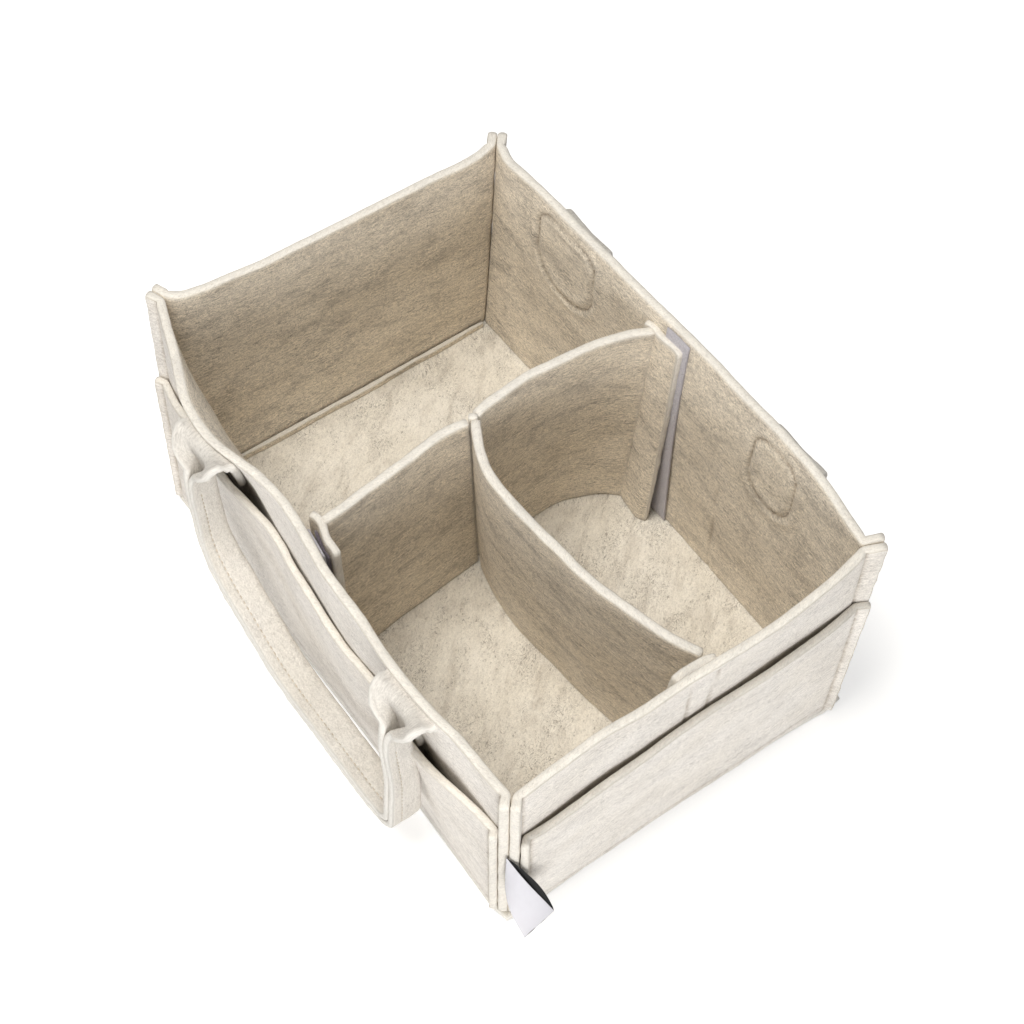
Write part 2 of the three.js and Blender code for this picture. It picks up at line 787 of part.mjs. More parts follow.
addMesh("divider_flap_front", flapSolid(ends.front), feltMaterial());
addMesh("hook_strip_left", hookSolid(ends.left), hookMaterial());
addMesh("hook_strip_right", hookSolid(ends.right), hookMaterial());
addMesh("hook_strip_front", hookSolid(ends.front), hookMaterial());
addMesh("loop_strip_left", loopSolid(ends.left, leftLoopX), loopMaterial());
addMesh("loop_strip_right", loopSolid(ends.right, rightLoopX), loopMaterial());
addMesh("loop_strip_front", loopSolid(ends.front, frontLoopY), loopMaterial());
addMesh("side_label", labelSolid(), labelMaterial());

export default caddy;
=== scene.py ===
import math

import bpy
import numpy as np
from mathutils import Matrix, Vector


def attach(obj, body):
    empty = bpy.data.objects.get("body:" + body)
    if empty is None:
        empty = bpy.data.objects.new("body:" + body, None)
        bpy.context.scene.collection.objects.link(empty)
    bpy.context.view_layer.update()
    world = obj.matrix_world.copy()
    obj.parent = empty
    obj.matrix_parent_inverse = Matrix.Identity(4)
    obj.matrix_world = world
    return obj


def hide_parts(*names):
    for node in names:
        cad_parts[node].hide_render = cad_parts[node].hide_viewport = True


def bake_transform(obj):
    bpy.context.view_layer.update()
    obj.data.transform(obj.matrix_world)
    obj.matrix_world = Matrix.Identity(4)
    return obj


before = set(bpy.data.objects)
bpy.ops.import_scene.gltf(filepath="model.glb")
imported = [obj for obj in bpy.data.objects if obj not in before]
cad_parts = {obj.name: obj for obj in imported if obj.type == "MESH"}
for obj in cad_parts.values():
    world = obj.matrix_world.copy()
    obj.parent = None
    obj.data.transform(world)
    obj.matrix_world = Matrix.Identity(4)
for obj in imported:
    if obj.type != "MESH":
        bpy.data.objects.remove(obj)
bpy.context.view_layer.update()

# All lengths are in millimetres until a mesh is made
MM = 0.001
FELT = 4.5  # thickness of the pockets, the straps and the side flaps
WALL = 5.2
PANEL = 5.4  # thickness of the divider
CLEAR = 0.15  # between a wall and its inner line
EDGE = 1.2  # how far a cut edge rounds out past its sheet's grid


# Numbers and curves

def smooth(t):
    t = np.clip(t, 0.0, 1.0)
    return t * t * (3 - 2 * t)


def unit(v):
    return v / np.maximum(np.linalg.norm(v, axis=-1, keepdims=True), 1e-9)


def lengths(line):
    """The lengths of a line's pieces."""
    return np.linalg.norm(np.diff(line, axis=0), axis=1)


def arc(line):
    """The distance along a line at each of its points."""
    return np.r_[0, np.cumsum(lengths(line))]


def sample(at, places, line):
    """A line's values at some places, where its own points lie at other places."""
    return np.stack([np.interp(at, places, line[:, i]) for i in range(line.shape[1])], -1)


def cubic(t, span, a, slope_a, b, slope_b):
    """The curve from a to b with those slopes, at shares t of the span."""
    return (
        (2 * t**3 - 3 * t**2 + 1) * a
        + (t**3 - 2 * t**2 + t) * span * slope_a
        + (-2 * t**3 + 3 * t**2) * b
        + (t**3 - t**2) * span * slope_b
    )


def fine_line(points, count):
    """A smooth line through points."""
    p = np.array(points, float)
    step = arc(p)
    slope = np.gradient(p, step, axis=0)
    at = np.linspace(0, step[-1], count)
    k = np.clip(np.searchsorted(step, at, side="right") - 1, 0, len(p) - 2)
    span = (step[k + 1] - step[k])[:, None]
    return cubic((at - step[k])[:, None] / span, span, p[k], slope[k], p[k + 1], slope[k + 1])


def through(points, count):
    """The smooth line through points, as count points spaced evenly along it."""
    line = fine_line(points, max(400, count * 6))
    along = arc(line)
    return sample(np.linspace(0, along[-1], count), along, line)


def profile(pairs):
    """A smooth function through (place, value) pairs, level outside them."""
    x, y = np.array(pairs, float).T
    slope = np.gradient(y, x) if len(x) > 2 else np.zeros(len(x))
    slope[0] = slope[-1] = 0

    def value(at):
        at = np.clip(np.asarray(at, float), x[0], x[-1])
        k = np.clip(np.searchsorted(x, at, side="right") - 1, 0, len(x) - 2)
        h = x[k + 1] - x[k]
        return cubic((at - x[k]) / h, h, y[k], slope[k], y[k + 1], slope[k + 1])

    return value


def even(value):
    return lambda s, r=None: np.full(np.shape(s), float(value))


def ripple(points, size, seed, waves=14):
    """Smooth pseudo-random values from -1 to 1 with features of about size millimetres."""
    rng = np.random.default_rng(seed)
    p = np.asarray(points, float).reshape(-1, 3)
    total = np.zeros(len(p))
    for _ in range(waves):
        d = rng.normal(size=3)
        d *= 2 * math.pi / (size * rng.uniform(1.2, 3.2)) / np.linalg.norm(d)
        total += np.sin(p @ d + rng.uniform(0, 2 * math.pi))
    return (total / math.sqrt(waves / 2) / 1.6).reshape(np.asarray(points).shape[:-1])


def right_of(d):
    return np.stack([d[..., 1], -d[..., 0]], -1)


def from_ends(count):
    """How many columns each column lies from the nearer end."""
    return np.minimum(np.arange(count), np.arange(count)[::-1])


# Meshes

def mesh_object(name, verts, faces, material, uv, **marks):
    """A smooth mesh; marks are values at its points that the felt reads."""
    mesh = bpy.data.meshes.new(name)
    mesh.from_pydata((verts * MM).tolist(), [], faces)
    mesh.update()
    layer = mesh.uv_layers.new(name="grain")
    index = np.empty(len(mesh.loops), np.int32)
    mesh.loops.foreach_get("vertex_index", index)
    layer.data.foreach_set("uv", (uv[index] * MM).astype(np.float32).ravel())
    for key, values in marks.items():
        attribute = mesh.attributes.new(key, "FLOAT", "POINT")
        attribute.data.foreach_set("value", values.astype(np.float32))
    mesh.polygons.foreach_set("use_smooth", [True] * len(mesh.polygons))
    mesh.materials.append(material)
    obj = bpy.data.objects.new(name, mesh)
    bpy.context.scene.collection.objects.link(obj)
    return obj


def slab(name, front, back, material, seed, bead=EDGE, uv_at=(0, 0), rough=0.12, ragged=0.25, turn=False,
         seams=None, lining=None):
    """A closed sheet of felt between two grids of points, with rounded cut edges.

    lining is the back grid's own material, and seams are how much painted shade darkens the points of both
    grids in seam and stitch grooves."""
    rows, cols = front.shape[:2]
    size, steps = rows * cols, 5
    normal = unit(back - front)
    mid = (back + front) / 2
    uv = np.stack(np.meshgrid(arc(mid[rows // 2]), arc(mid[:, cols // 2])), -1)
    if turn:
        uv = uv[..., ::-1]
    f, b = (
        p + normal * (rough * ripple(p, 7, first) + 0.05 * ripple(p, 2.6, first + 1))[..., None]
        for p, first in ((front, seed), (back, seed + 2))
    )
    out = np.zeros(mid.shape)
    out[0] += unit(mid[0] - mid[1])
    out[-1] += unit(mid[-1] - mid[-2])
    out[:, 0] += unit(mid[:, 0] - mid[:, 1])
    out[:, -1] += unit(mid[:, -1] - mid[:, -2])
    q = np.arange(size).reshape(rows, cols)
    ring = np.r_[q[0], q[1:, -1], q[-1, -2::-1], q[-2:0:-1, 0]]
    f, b, mid, out, uv = (grid.reshape(size, -1) for grid in (f, b, mid, out, uv))
    out = unit(out[ring])
    wave = ragged * ripple(mid[ring], 5, seed + 4) + 0.6 * ragged * ripple(mid[ring], 1.8, seed + 5)
    rim = np.zeros(size)
    rim[ring] = 0.45
    verts, uvs, rims, loops = [f], [uv], [rim], [ring]
    for k in range(1, steps):
        a = math.pi * k / steps
        w = (1 - math.cos(a)) / 2
        verts.append(f[ring] * (1 - w) + b[ring] * w + out * ((bead + wave) * math.sin(a))[:, None])
        uvs.append(uv[ring] + (k * 1.3, k * 1.7))
        rims.append(np.ones(len(ring)))
        loops.append(size + (k - 1) * len(ring) + np.arange(len(ring)))
    first = size + (steps - 1) * len(ring)
    verts = np.concatenate([*verts, b])
    uvs = np.concatenate([*uvs, uv + (137.0, 71.0)]) + np.array(uv_at, float)
    rims = np.concatenate([*rims, rim])
    loops.append(first + ring)
    grid = np.stack([q[:-1, :-1], q[:-1, 1:], q[1:, 1:], q[1:, :-1]], -1).reshape(-1, 4)
    faces = [grid, first + grid[:, [0, 3, 2, 1]]]
    for lower, upper in zip(loops, loops[1:]):
        faces.append(np.stack([lower, upper, np.roll(upper, -1), np.roll(lower, -1)], 1))
    faces = np.concatenate(faces)
    p0, p1, p2, p3 = verts[faces].transpose(1, 0, 2)
    if (p0 * (np.cross(p1, p2) + np.cross(p2, p3))).sum() < 0:
        faces = faces[:, ::-1]
    seam = np.zeros(len(verts))
    if seams is not None:
        seam[:size], seam[first:] = seams[0].ravel(), seams[1].ravel()
    obj = mesh_object(name, verts, faces.tolist(), material, uvs, rim=rims, seam=seam)
    if lining:
        obj.data.materials.append(lining)
        index = np.zeros(len(faces), np.int32)
        index[len(grid) : 2 * len(grid)] = 1
        obj.data.polygons.foreach_set("material_index", index)
    return obj


def stitches(name, lines, normals, length, gap, radius, lift=0.12):
    """Short rounded threads along lines of points, standing on surfaces with those normals."""
    n = 6
    turn = 2 * math.pi * np.arange(n)[:, None] / n
    rise = np.sin(np.linspace(0, math.pi, n))
    thick = (radius * (0.45 + 0.55 * np.sqrt(np.maximum(rise, 0))))[:, None, None]
    sides = [(k, (k + 1) % n) for k in range(n)]
    tube = [(q + k, q + j, q + j + n, q + k + n) for q in range(0, n * n - n, n) for k, j in sides]
    tube += [tuple(range(n - 1, -1, -1)), tuple(range(n * n - n, n * n))]
    verts, faces = [], []
    for line, normal in zip(lines, normals):
        along = arc(line)
        place = gap
        while place + length < along[-1]:
            at = np.linspace(place, place + length, n)
            c, up = sample(at, along, line), unit(sample(at, along, normal))
            side = unit(np.cross(unit(np.gradient(c, axis=0)), up))
            c = c + up * (lift * rise - 0.12 * (1 - rise))[:, None]
            faces += [tuple(len(verts) * n * n + k for k in face) for face in tube]
            verts.append(c[:, None] + thick * (side[:, None] * np.cos(turn) + up[:, None] * np.sin(turn)))
            place += length + gap
    verts = np.reshape(verts, (-1, 3))
    return mesh_object(name, verts, faces, thread, verts[:, :2])


# Materials

class Nodes:
    """The shader nodes of one material or world."""

    def __init__(self, owner):
        owner.use_nodes = True
        self.owner, self.tree = owner, owner.node_tree
        self.tree.nodes.clear()

    def add(self, kind, inputs=None, **settings):
        """A node with these settings; its inputs are values or other nodes' outputs."""
        node = self.tree.nodes.new(kind)
        for key, value in settings.items():
            setattr(node, key, value)
        for key, value in (inputs or {}).items():
            if isinstance(value, bpy.types.NodeSocket):
                self.tree.links.new(value, node.inputs[key])
            else:
                node.inputs[key].default_value = value
        return node

    def math(self, operation, a, b=0.0):
        return self.add("ShaderNodeMath", {0: a, 1: b}, operation=operation).outputs[0]

    def times(self, a, b):
        return self.math("MULTIPLY", a, b)

    def plus(self, a, b):
        return self.math("ADD", a, b)

    def most(self, a, b):
        return self.math("MAXIMUM", a, b)

    def noise(self, vector, scale, detail=2.0, rough=0.6, distortion=0.0):
        values = {"Vector": vector, "Scale": scale, "Detail": detail, "Roughness": rough}
        values["Distortion"] = distortion
        return self.add("ShaderNodeTexNoise", values).outputs["Fac"]

    def step(self, value, low, high):
        values = {"Value": value, "From Min": low, "From Max": high}
        return self.add("ShaderNodeMapRange", values, interpolation_type="SMOOTHSTEP").outputs["Result"]

    def spots(self, vector, scale, low, high, share, rough=0.6):
        return self.times(self.step(self.noise(vector, scale, 2, rough), low, high), share)

    def mapping(self, vector, scale=(1, 1, 1), location=(0, 0, 0), turn=0.0):
        values = {"Vector": vector, "Scale": scale, "Location": location, "Rotation": (0, 0, turn)}
        return self.add("ShaderNodeMapping", values).outputs["Vector"]

    def mix(self, factor, a, b, blend="MIX"):
        settings = {"data_type": "RGBA", "blend_type": blend, "clamp_factor": True}
        return self.add("ShaderNodeMix", {0: factor, 6: a, 7: b}, **settings).outputs[2]

    def hairs(self, vector, scale, stretch, turn, width, location, distortion):
        """Thin curved lines where a stretched noise crosses its middle value."""
        v = self.mapping(vector, (stretch, 1, 1), location, turn)
        gap = self.math("ABSOLUTE", self.math("SUBTRACT", self.noise(v, scale, 1.5, 0.55, distortion), 0.5))
        return self.math("SUBTRACT", 1.0, self.step(gap, 0.0, width))

    def surface(self, colour, height, strength, distance, rough, **more):
        """Ends a material: the bump of this height, and the shader with more of its inputs by name."""
        bump = self.add("ShaderNodeBump", {"Strength": strength, "Distance": distance, "Height": height})
        values = {"Base Color": colour, "Normal": bump.outputs["Normal"], "Roughness": rough}
        values.update((key.replace("_", " "), value) for key, value in more.items())
        shader = self.add("ShaderNodeBsdfPrincipled", values)
        self.add("ShaderNodeOutputMaterial", {"Surface": shader.outputs["BSDF"]})
        return self.owner


def new_material(name):
    m = Nodes(bpy.data.materials.new(name))
    return m, m.add("ShaderNodeUVMap", uv_map="grain").outputs["UV"]


def felt(name, light, dark, flecks=1.0, lean=0.0, curl=0.0, tones=(1.24, 0.64)):
    """Needled wool felt: cream ground, cloudy grey smudges and thin dark hairs that lie mostly one way."""
    m, uv = new_material(name)
    rim, seam = (m.add("ShaderNodeAttribute", attribute_name=key).outputs["Fac"] for key in ("rim", "seam"))
    flow = m.mapping(uv, turn=lean)

    def drawn(scale, long, x, y, detail=2, rough=0.6, distortion=0.0, turn=0.0):
        """Noise drawn out along the fibres."""
        return m.noise(m.mapping(flow, (long, 1, 1), (x, y, 0), turn), scale, detail, rough, distortion)

    # the ground, its smudges, and the places where dark fibres gather
    shade = tuple(c * k for c, k in zip(light, (0.955, 0.945, 0.925, 1)))
    base = m.mix(m.step(m.noise(uv, 22, 2, 0.55), 0.3, 0.7), light, shade)
    smudge = m.step(drawn(88, 0.42, 3, 1, 4, 0.68, 0.5), 0.44, 0.74)
    base = m.mix(m.times(smudge, 0.40 * min(1.0, flecks)), base, dark)
    clumps = m.step(drawn(46, 0.55, 5, 2, rough=0.55), 0.40, 0.64)
    gathers = m.step(drawn(88, 0.7, 1, 8), 0.46, 0.66)

    # streaks, hairs and dots
    long = 0.24 + 0.4 * curl
    amount = 0.0
    for scale, x, y, bend, turn, low, high, least, share, fade in (
        (820, 0, 4, 1.0, 0.08, 0.55, 0.67, 0.30, m.times(clumps, 0.62), 0.6),
        (900, 7, 3, 1.5, -0.5 - curl, 0.57, 0.68, 0.16, m.times(gathers, 0.62), 0.5),
        (860, 2, 9, 1.8, 0.8 + curl, 0.60, 0.70, 0.0, m.times(gathers, 0.65), 0.5),
    ):
        streak = drawn(scale, long, x, y, distortion=bend, turn=turn)
        deep = m.times(m.step(streak, low, high), m.plus(least, share))
        amount = m.most(amount, m.times(deep, 1.0 - fade * curl))
    width = 0.022 + 0.008 * curl
    hair = m.hairs(flow, 200 - 50 * curl, 0.3 + 0.4 * curl, 0.12, width, (0, 0, 0), 1.6 + 2.2 * curl)
    fine_hair = m.hairs(flow, 260, 0.45 + 0.3 * curl, -0.5, 0.018, (4, 4, 0), 2.4 + 2.0 * curl)
    hairs = m.most(m.times(hair, clumps), m.times(fine_hair, gathers))
    amount = m.most(amount, m.times(hairs, 0.8 + 0.3 * curl))
    dots = m.step(drawn(700, 0.6, 3, 3, 1, 0.5), 0.635, 0.69)
    amount = m.most(amount, m.times(dots, m.plus(0.35, m.times(gathers, 0.5))))
    amount = m.times(m.times(amount, flecks), m.math("SUBTRACT", 1.0, m.times(rim, 0.55)))
    colour = m.mix(m.times(amount, 0.60 + 0.12 * curl), base, (0.15, 0.12, 0.10, 1))

    # fine grain
    fine = m.noise(uv, 1150, 2, 0.7)
    grain = drawn(640, 0.5, 0, 0, 3, 0.75)
    values = {"From Min": 0.40, "From Max": 0.60, "To Min": tones[0], "To Max": tones[1]}
    values["Value"] = m.plus(m.times(fine, 0.5), m.times(grain, 0.5))
    colour = m.mix(1.0, colour, m.add("ShaderNodeMapRange", values).outputs["Result"], "MULTIPLY")

    # pale cut edges, and painted shade darkening the grooves of seams and stitch lines; on the front wall's
    # outer stitch lines it also stands for the thread's brown
    crumbs = m.most(m.spots(uv, 820, 0.56, 0.68, 0.42), m.spots(uv, 420, 0.5, 0.66, 0.22))
    cut = m.mix(crumbs, (0.83, 0.81, 0.765, 1), (0.42, 0.37, 0.32, 1))
    colour = m.mix(m.times(rim, 0.7), colour, cut)
    groove_shade = m.times(seam, m.plus(0.35, m.spots(uv, 300, 0.4, 0.6, 0.4)))
    colour = m.mix(groove_shade, colour, (0.27, 0.20, 0.13, 1))

    height = m.plus(m.times(fine, 0.5), m.times(grain, 0.7))
    height = m.plus(height, m.times(m.noise(uv, 230), 0.8))
    height = m.math("SUBTRACT", height, m.times(amount, 0.2))
    return m.surface(colour, height, 0.7, 0.0007, m.plus(0.88, m.times(fine, 0.12)),
                     Specular_IOR_Level=0.12, Sheen_Weight=0.12, Sheen_Roughness=0.6)


def tape(name, light, dark, loops):
    """Hook or loop tape: a dense nap of tiny loops, or rows of small hooks."""
    m, uv = new_material(name)
    nap = m.noise(uv, 1400 if loops else 900, 2, 0.7, 0.6)
    cells = m.add("ShaderNodeTexVoronoi", {"Vector": uv, "Scale": 700}, feature="F1")
    dots = m.step(cells.outputs["Distance"], 0.15, 0.55)
    marks = m.times(m.hairs(uv, 520, 0.8, 0.4, 0.05, (0, 0, 0), 2.5), 0.35) if loops else m.times(dots, 0.6)
    colour = m.mix(m.step(nap, 0.35, 0.65), light, dark)
    colour = m.mix(marks, colour, dark)
    colour = m.mix(m.spots(uv, 60, 0.4, 0.7, 0.25, 0.5), colour, dark)
    rough = m.plus(0.7, m.times(nap, 0.25))
    return m.surface(colour, m.plus(nap, dots), 0.7, 0.0005, rough, Sheen_Weight=0.3)


def ribbon(name, light, dark):
    """Smooth woven ribbon: fine weft ribs and a slight sheen."""
    m, uv = new_material(name)
    warp = m.add("ShaderNodeTexWave", {"Vector": uv, "Scale": 620, "Distortion": 0.4}, bands_direction="X")
    weft = m.add("ShaderNodeTexWave", {"Vector": uv, "Scale": 480}, bands_direction="Y")
    ribs = m.times(warp.outputs["Fac"], weft.outputs["Fac"])
    colour = m.mix(m.times(ribs, 0.5), light, dark)
    colour = m.mix(m.spots(uv, 90, 0.4, 0.7, 0.3, 0.5), colour, dark)
    return m.surface(colour, ribs, 0.35, 0.0002, m.plus(0.55, m.times(ribs, 0.2)), Specular_IOR_Level=0.25)


# Two copies of one felt: the first is its cream on the outer faces; the second, warmer and more saturated,
# is painted warm shade for the inside of the caddy: the walls' inner faces, the pockets' backs, the divider
# with its flaps and the strips inside
wall_felt = felt("felt_outside", (0.865, 0.825, 0.775, 1), (0.42, 0.39, 0.37, 1), 0.6, tones=(1.14, 0.80))
shaded_inside_felt = felt("felt_inside_shaded", (0.885, 0.80, 0.67, 1), (0.20, 0.17, 0.15, 1), tones=(1.26, 0.66))
strap_felt = felt("felt_strap", (0.69, 0.66, 0.615, 1), (0.44, 0.40, 0.37, 1), 0.45, 0.0, 0.6, (1.1, 0.84))
# The base felt is a little lighter than the walls' felt, about a twentieth: painted light on the inside
# floor, where the walls block part of the overhead lamp
base_felt = felt("felt_base", (0.90, 0.86, 0.78, 1), (0.34, 0.28, 0.22, 1), 0.9, 0.9, 1.0, (1.09, 0.87))
thread = felt("thread", (0.56, 0.48, 0.38, 1), (0.38, 0.31, 0.24, 1), 0.3)
loop_tape = tape("loop_tape", (0.66, 0.64, 0.68, 1), (0.44, 0.42, 0.47, 1), True)
hook_tape = tape("hook_tape", (0.30, 0.26, 0.30, 1), (0.09, 0.07, 0.10, 1), False)
label_white = ribbon("label_front", (0.66, 0.655, 0.70, 1), (0.58, 0.57, 0.61, 1))
label_black = ribbon("label_back", (0.006, 0.006, 0.007, 1), (0.02, 0.02, 0.022, 1))


# The caddy's inner lines at the rim and the foot, in millimetres, from corner to corner

RIM = 168.0
FOOT = 4.3
CORNERS = {
    "back_left": ((-165.35, -98.45), (-158.6, -104.0), (-0.93, -0.36)),
    "front_left": ((176.65, -119.05), (159.8, -105.8), (0.72, -0.69)),
    "front_right": ((166.25, 100.65), (159.6, 104.4), (0.37, 0.93)),
    "back_right": ((-151.75, 106.45), (-158.4, 103.6), (-0.75, 0.66)),
}
RIM_LINES = {
    "left": [(-162.75, -99.45), (-146.75, -105.05), (-133.75, -109.35), (-117.75, -115.75),
             (-99.75, -122.75), (-86.75, -124.45), (-72.75, -124.2), (-55.75, -120.15), (-41.75, -116.6),
             (-26.75, -115.35), (-5.75, -116.2), (12, -118.2), (27.25, -120.2), (41.25, -121.0),
             (55, -121.4), (74.25, -122.6), (100, -123.2), (124.25, -122.6), (138, -120.9),
             (152.25, -120.25)],
    "front": [(174.45, -89.75), (173.05, -65.75), (173.9, -42.75), (173.4, -23.75), (174.4, 4.25),
              (174.5, 30.25), (173.05, 55.25), (169.85, 83.25)],
    "right": [(149.25, 102.9), (129.75, 106.1), (103.25, 108.4), (86.25, 109.0), (55.25, 108.7),
              (36.25, 109.5), (21.25, 109.1), (-27.75, 107.1), (-61.75, 106.2), (-97.75, 105.8),
              (-122.75, 103.9), (-138.75, 103.0)],
    "back": [(-149.2, 97.0), (-149.6, 60), (-151.2, 20), (-152.0, -20), (-152.9, -47.75), (-154.75, -62.75),
             (-156.75, -81.75), (-160.2, -93.2)],
}
FOOT_LINES = {
    "left": [(-80, -103.2), (0, -102.6), (80, -103.4)],
    "front": [(154.2, -76.3), (150.3, -40), (148.7, -19), (149.3, 8), (151.4, 34), (152.8, 60), (155.8, 86)],
    "right": [(100, 104.9), (0, 105.4), (-100, 104.8)],
    "back": [(-158.4, 60), (-158.2, 0), (-158.5, -60)],
}
ENDS = {
    "left": ("back_left", "front_left"),
    "front": ("front_left", "front_right"),
    "right": ("front_right", "back_right"),
    "back": ("back_right", "back_left"),
}
NODES = {
    "left": "long_wall_left",
    "front": "end_wall_front",
    "right": "long_wall_right",
    "back": "end_wall_back",
}
FLANGE = 8.0
FLANGES = {"back_left": 9.5, "front_left": 8.5, "front_right": 13.0, "back_right": 9.5}  # at the rim
TRIM = 2.2  # how far short of a corner the bend into its flange starts
LEAD = 4  # columns along a flange, and as many round its bend
CORNER_POWER = 0.8  # how the corners lean outward with height
BULGE_POWER = 2.4  # how the walls' waves grow with height
SPAN = {"left": 132, "front": 92, "right": 150, "back": 92}  # columns of a wall between its flanges
ROWS = 68
SHARES = np.linspace(0, 1, 401)


def up_of(z):
    return (z - FOOT) / (RIM - FOOT)


class Wall:
    """The inner face of one wall, by shares s along it from corner to corner and h up it."""

    def __init__(self, name):
        self.name = name
        corners = np.array([CORNERS[end] for end in ENDS[name]])
        self.rim_ends, self.foot_ends, self.outs = corners.transpose(1, 0, 2)
        self.rim = through([self.rim_ends[0], *RIM_LINES[name], self.rim_ends[1]], len(SHARES))
        self.foot = through([self.foot_ends[0], *FOOT_LINES[name], self.foot_ends[1]], len(SHARES))
        self.length = lengths(self.rim).sum()

    def place(self, s, h):
        s, h = np.broadcast_arrays(np.asarray(s, float)[..., None], np.asarray(h, float)[..., None])
        rim_chord = self.rim_ends[0] * (1 - s) + self.rim_ends[1] * s
        foot_chord = self.foot_ends[0] * (1 - s) + self.foot_ends[1] * s
        plan = foot_chord * (1 - h**CORNER_POWER) + rim_chord * h**CORNER_POWER
        power = BULGE_POWER
        if self.name == "left":
            # the handle pulls the wall inward near its back leg
            pulled = smooth((s - 0.03) / 0.14) * smooth((0.40 - s) / 0.12)
            power = power + 1.9 * pulled - 1.5 * smooth((s - 0.36) / 0.12) * smooth((0.74 - s) / 0.12)
            belly = 4.5 * pulled * (h**1.2 * np.clip(1 - h, 0, 1) ** 0.8) / 0.382
            plan = plan + belly * np.array([0.0, 1.0])
        plan = plan + (sample(s[..., 0], SHARES, self.rim) - rim_chord) * h**power
        plan = plan + (sample(s[..., 0], SHARES, self.foot) - foot_chord) * (1 - h) ** 2
        return np.concatenate([plan, FOOT + (RIM - FOOT) * h], -1)

    def outward(self, s, h):
        e = 0.004
        d = self.place(np.clip(s + e, 0, 1), h)[..., :2] - self.place(np.clip(s - e, 0, 1), h)[..., :2]
        d = right_of(unit(d))
        return np.concatenate([d, np.zeros((*d.shape[:-1], 1))], -1)

    def spot(self, axis, value, z):
        """The point where the wall is at that x or y and height, and the direction outward from it."""
        h = up_of(z)
        shares = np.linspace(0, 1, 801)
        p = self.place(shares, h)[:, axis]
        order = np.argsort(p)
        s = np.interp(value, p[order], shares[order])
        return self.place(s, h), self.outward(s, h)


WALLS = {name: Wall(name) for name in ENDS}


def seam_path(wall, heights, depth, n):
    """Plan points of one row at depth outside the inner line, its ends turned outward into seam flanges.

    heights and depth are functions of the share along the wall."""
    s = np.linspace(0, 1, 2 * n)
    p = wall.place(s, heights(s))[:, :2]
    tangents = (-unit(p[4] - p[0]), unit(p[-1] - p[-5]))
    miters, flanges, corners = [], [], []
    for end, name in enumerate(ENDS[wall.name]):
        here = np.array([float(end)])
        up, deep = float(heights(here)[0]), float(depth(here)[0])
        lean = up**CORNER_POWER
        out = unit(unit(np.sign(wall.foot_ends[end])) * (1 - lean) + wall.outs[end] * lean)
        miter = deep * math.tan(math.acos(np.clip(tangents[end] @ out, -1, 1)) / 2)
        reach = FLANGE + (FLANGES[name] - FLANGE) * up**2.2 - EDGE
        foot = p[-end] + right_of(out if end else -out) * deep
        miters.append(miter)
        corners.append(foot + out * miter)
        flanges.append(foot + out * np.linspace(reach, min(TRIM + miter, reach - 0.6), LEAD)[:, None])
    along = arc(p)
    places = np.linspace(TRIM + miters[0], along[-1] - TRIM - miters[1], n)
    span = sample(places, along, p)
    span = span + right_of(unit(np.gradient(span, axis=0))) * depth(np.interp(places, along, s))[:, None]
    lead, tail = flanges[0], flanges[1][::-1]

    def bend(a, corner, b):
        t = np.linspace(0, 1, LEAD + 2)[1:-1, None]
        return a * (1 - t) ** 2 + corner * 2 * t * (1 - t) + b * t**2

    return np.concatenate(
        [lead, bend(lead[-1], corners[0], span[0]), span, bend(span[-1], corners[1], tail[0]), tail]
    )


def sheet_grid(wall, high, depth_in, depth_out, rows):
    """Grids of a sheet standing along a wall up to z high(share), at depths(share, rise) outside it."""
    n = SPAN[wall.name]
    column = np.r_[np.zeros(2 * LEAD), np.linspace(0, 1, n), np.ones(2 * LEAD)]
    grids = [], []
    for r in np.linspace(0, 1, rows):
        z = lambda s: FOOT + EDGE + (high(s) - FOOT - 2 * EDGE) * r
        for grid, depth in zip(grids, (depth_in, depth_out)):
            path = seam_path(wall, lambda s: up_of(z(s)), lambda s: depth(s, r), n)
            grid.append(np.c_[path, z(column)])
    return np.array(grids[0]), np.array(grids[1])


def corner_seam(grid):
    """1 along the seams where a sheet turns into its corner flanges, 0 elsewhere."""
    return np.exp(-(((from_ends(grid.shape[1]) - 1.5 * LEAD) / 1.3) ** 2)) * np.ones(grid.shape[:2])


def none_of(points):
    return np.zeros(points.shape[:2])


def wall_sheet(node, inner, outer, seed, shift, seams):
    """A sheet of the walls between two grids: its inner face in the felt copy with painted interior shade,
    its outer face in the outer felt.
    """
    uv_at = (seed * shift[0], seed * shift[1])
    obj = slab(node, inner, outer, shaded_inside_felt, seed, uv_at=uv_at, seams=seams, lining=wall_felt)
    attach(obj, "caddy")
    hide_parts(node)
    return obj


def make_wall(name, seed, dents=none_of, marks_in=none_of, marks_out=none_of):
    """One wall; dents says how far its inner face sinks, the marks where painted shade darkens its faces in
    seam and stitch grooves.
    """
    wall = WALLS[name]
    inner, outer = sheet_grid(wall, even(RIM), even(CLEAR), even(CLEAR + WALL), ROWS)
    normal = unit(outer - inner)
    h = up_of(inner[..., 2])
    inside = np.minimum(1, from_ends(inner.shape[1]) / 16.0)
    drift = (0.5 * ripple(inner, 45, seed) * inside * np.clip(4 * h, 0, 1))[..., None] * normal
    inner, outer = inner + drift, outer + drift
    lift = (h**6 * 0.35 * ripple(inner[-1:], 30, seed + 9))[..., None] * np.array([0, 0, 1.0])
    inner, outer = inner + lift, outer + lift
    inner = inner + normal * dents(inner)[..., None]
    # the seams into the corner flanges sink on the outer face and get painted shade there, as do the marked
    # lines
    seam = corner_seam(inner)
    outer = outer - normal * (0.9 * seam)[..., None]
    groove_shade = marks_out(outer)
    seams = (marks_in(inner), np.maximum(seam * 0.8, groove_shade))
    outer = outer - normal * (0.7 * groove_shade)[..., None]
    obj = wall_sheet(NODES[name], inner, outer, seed, (41.0, 17.0), seams)


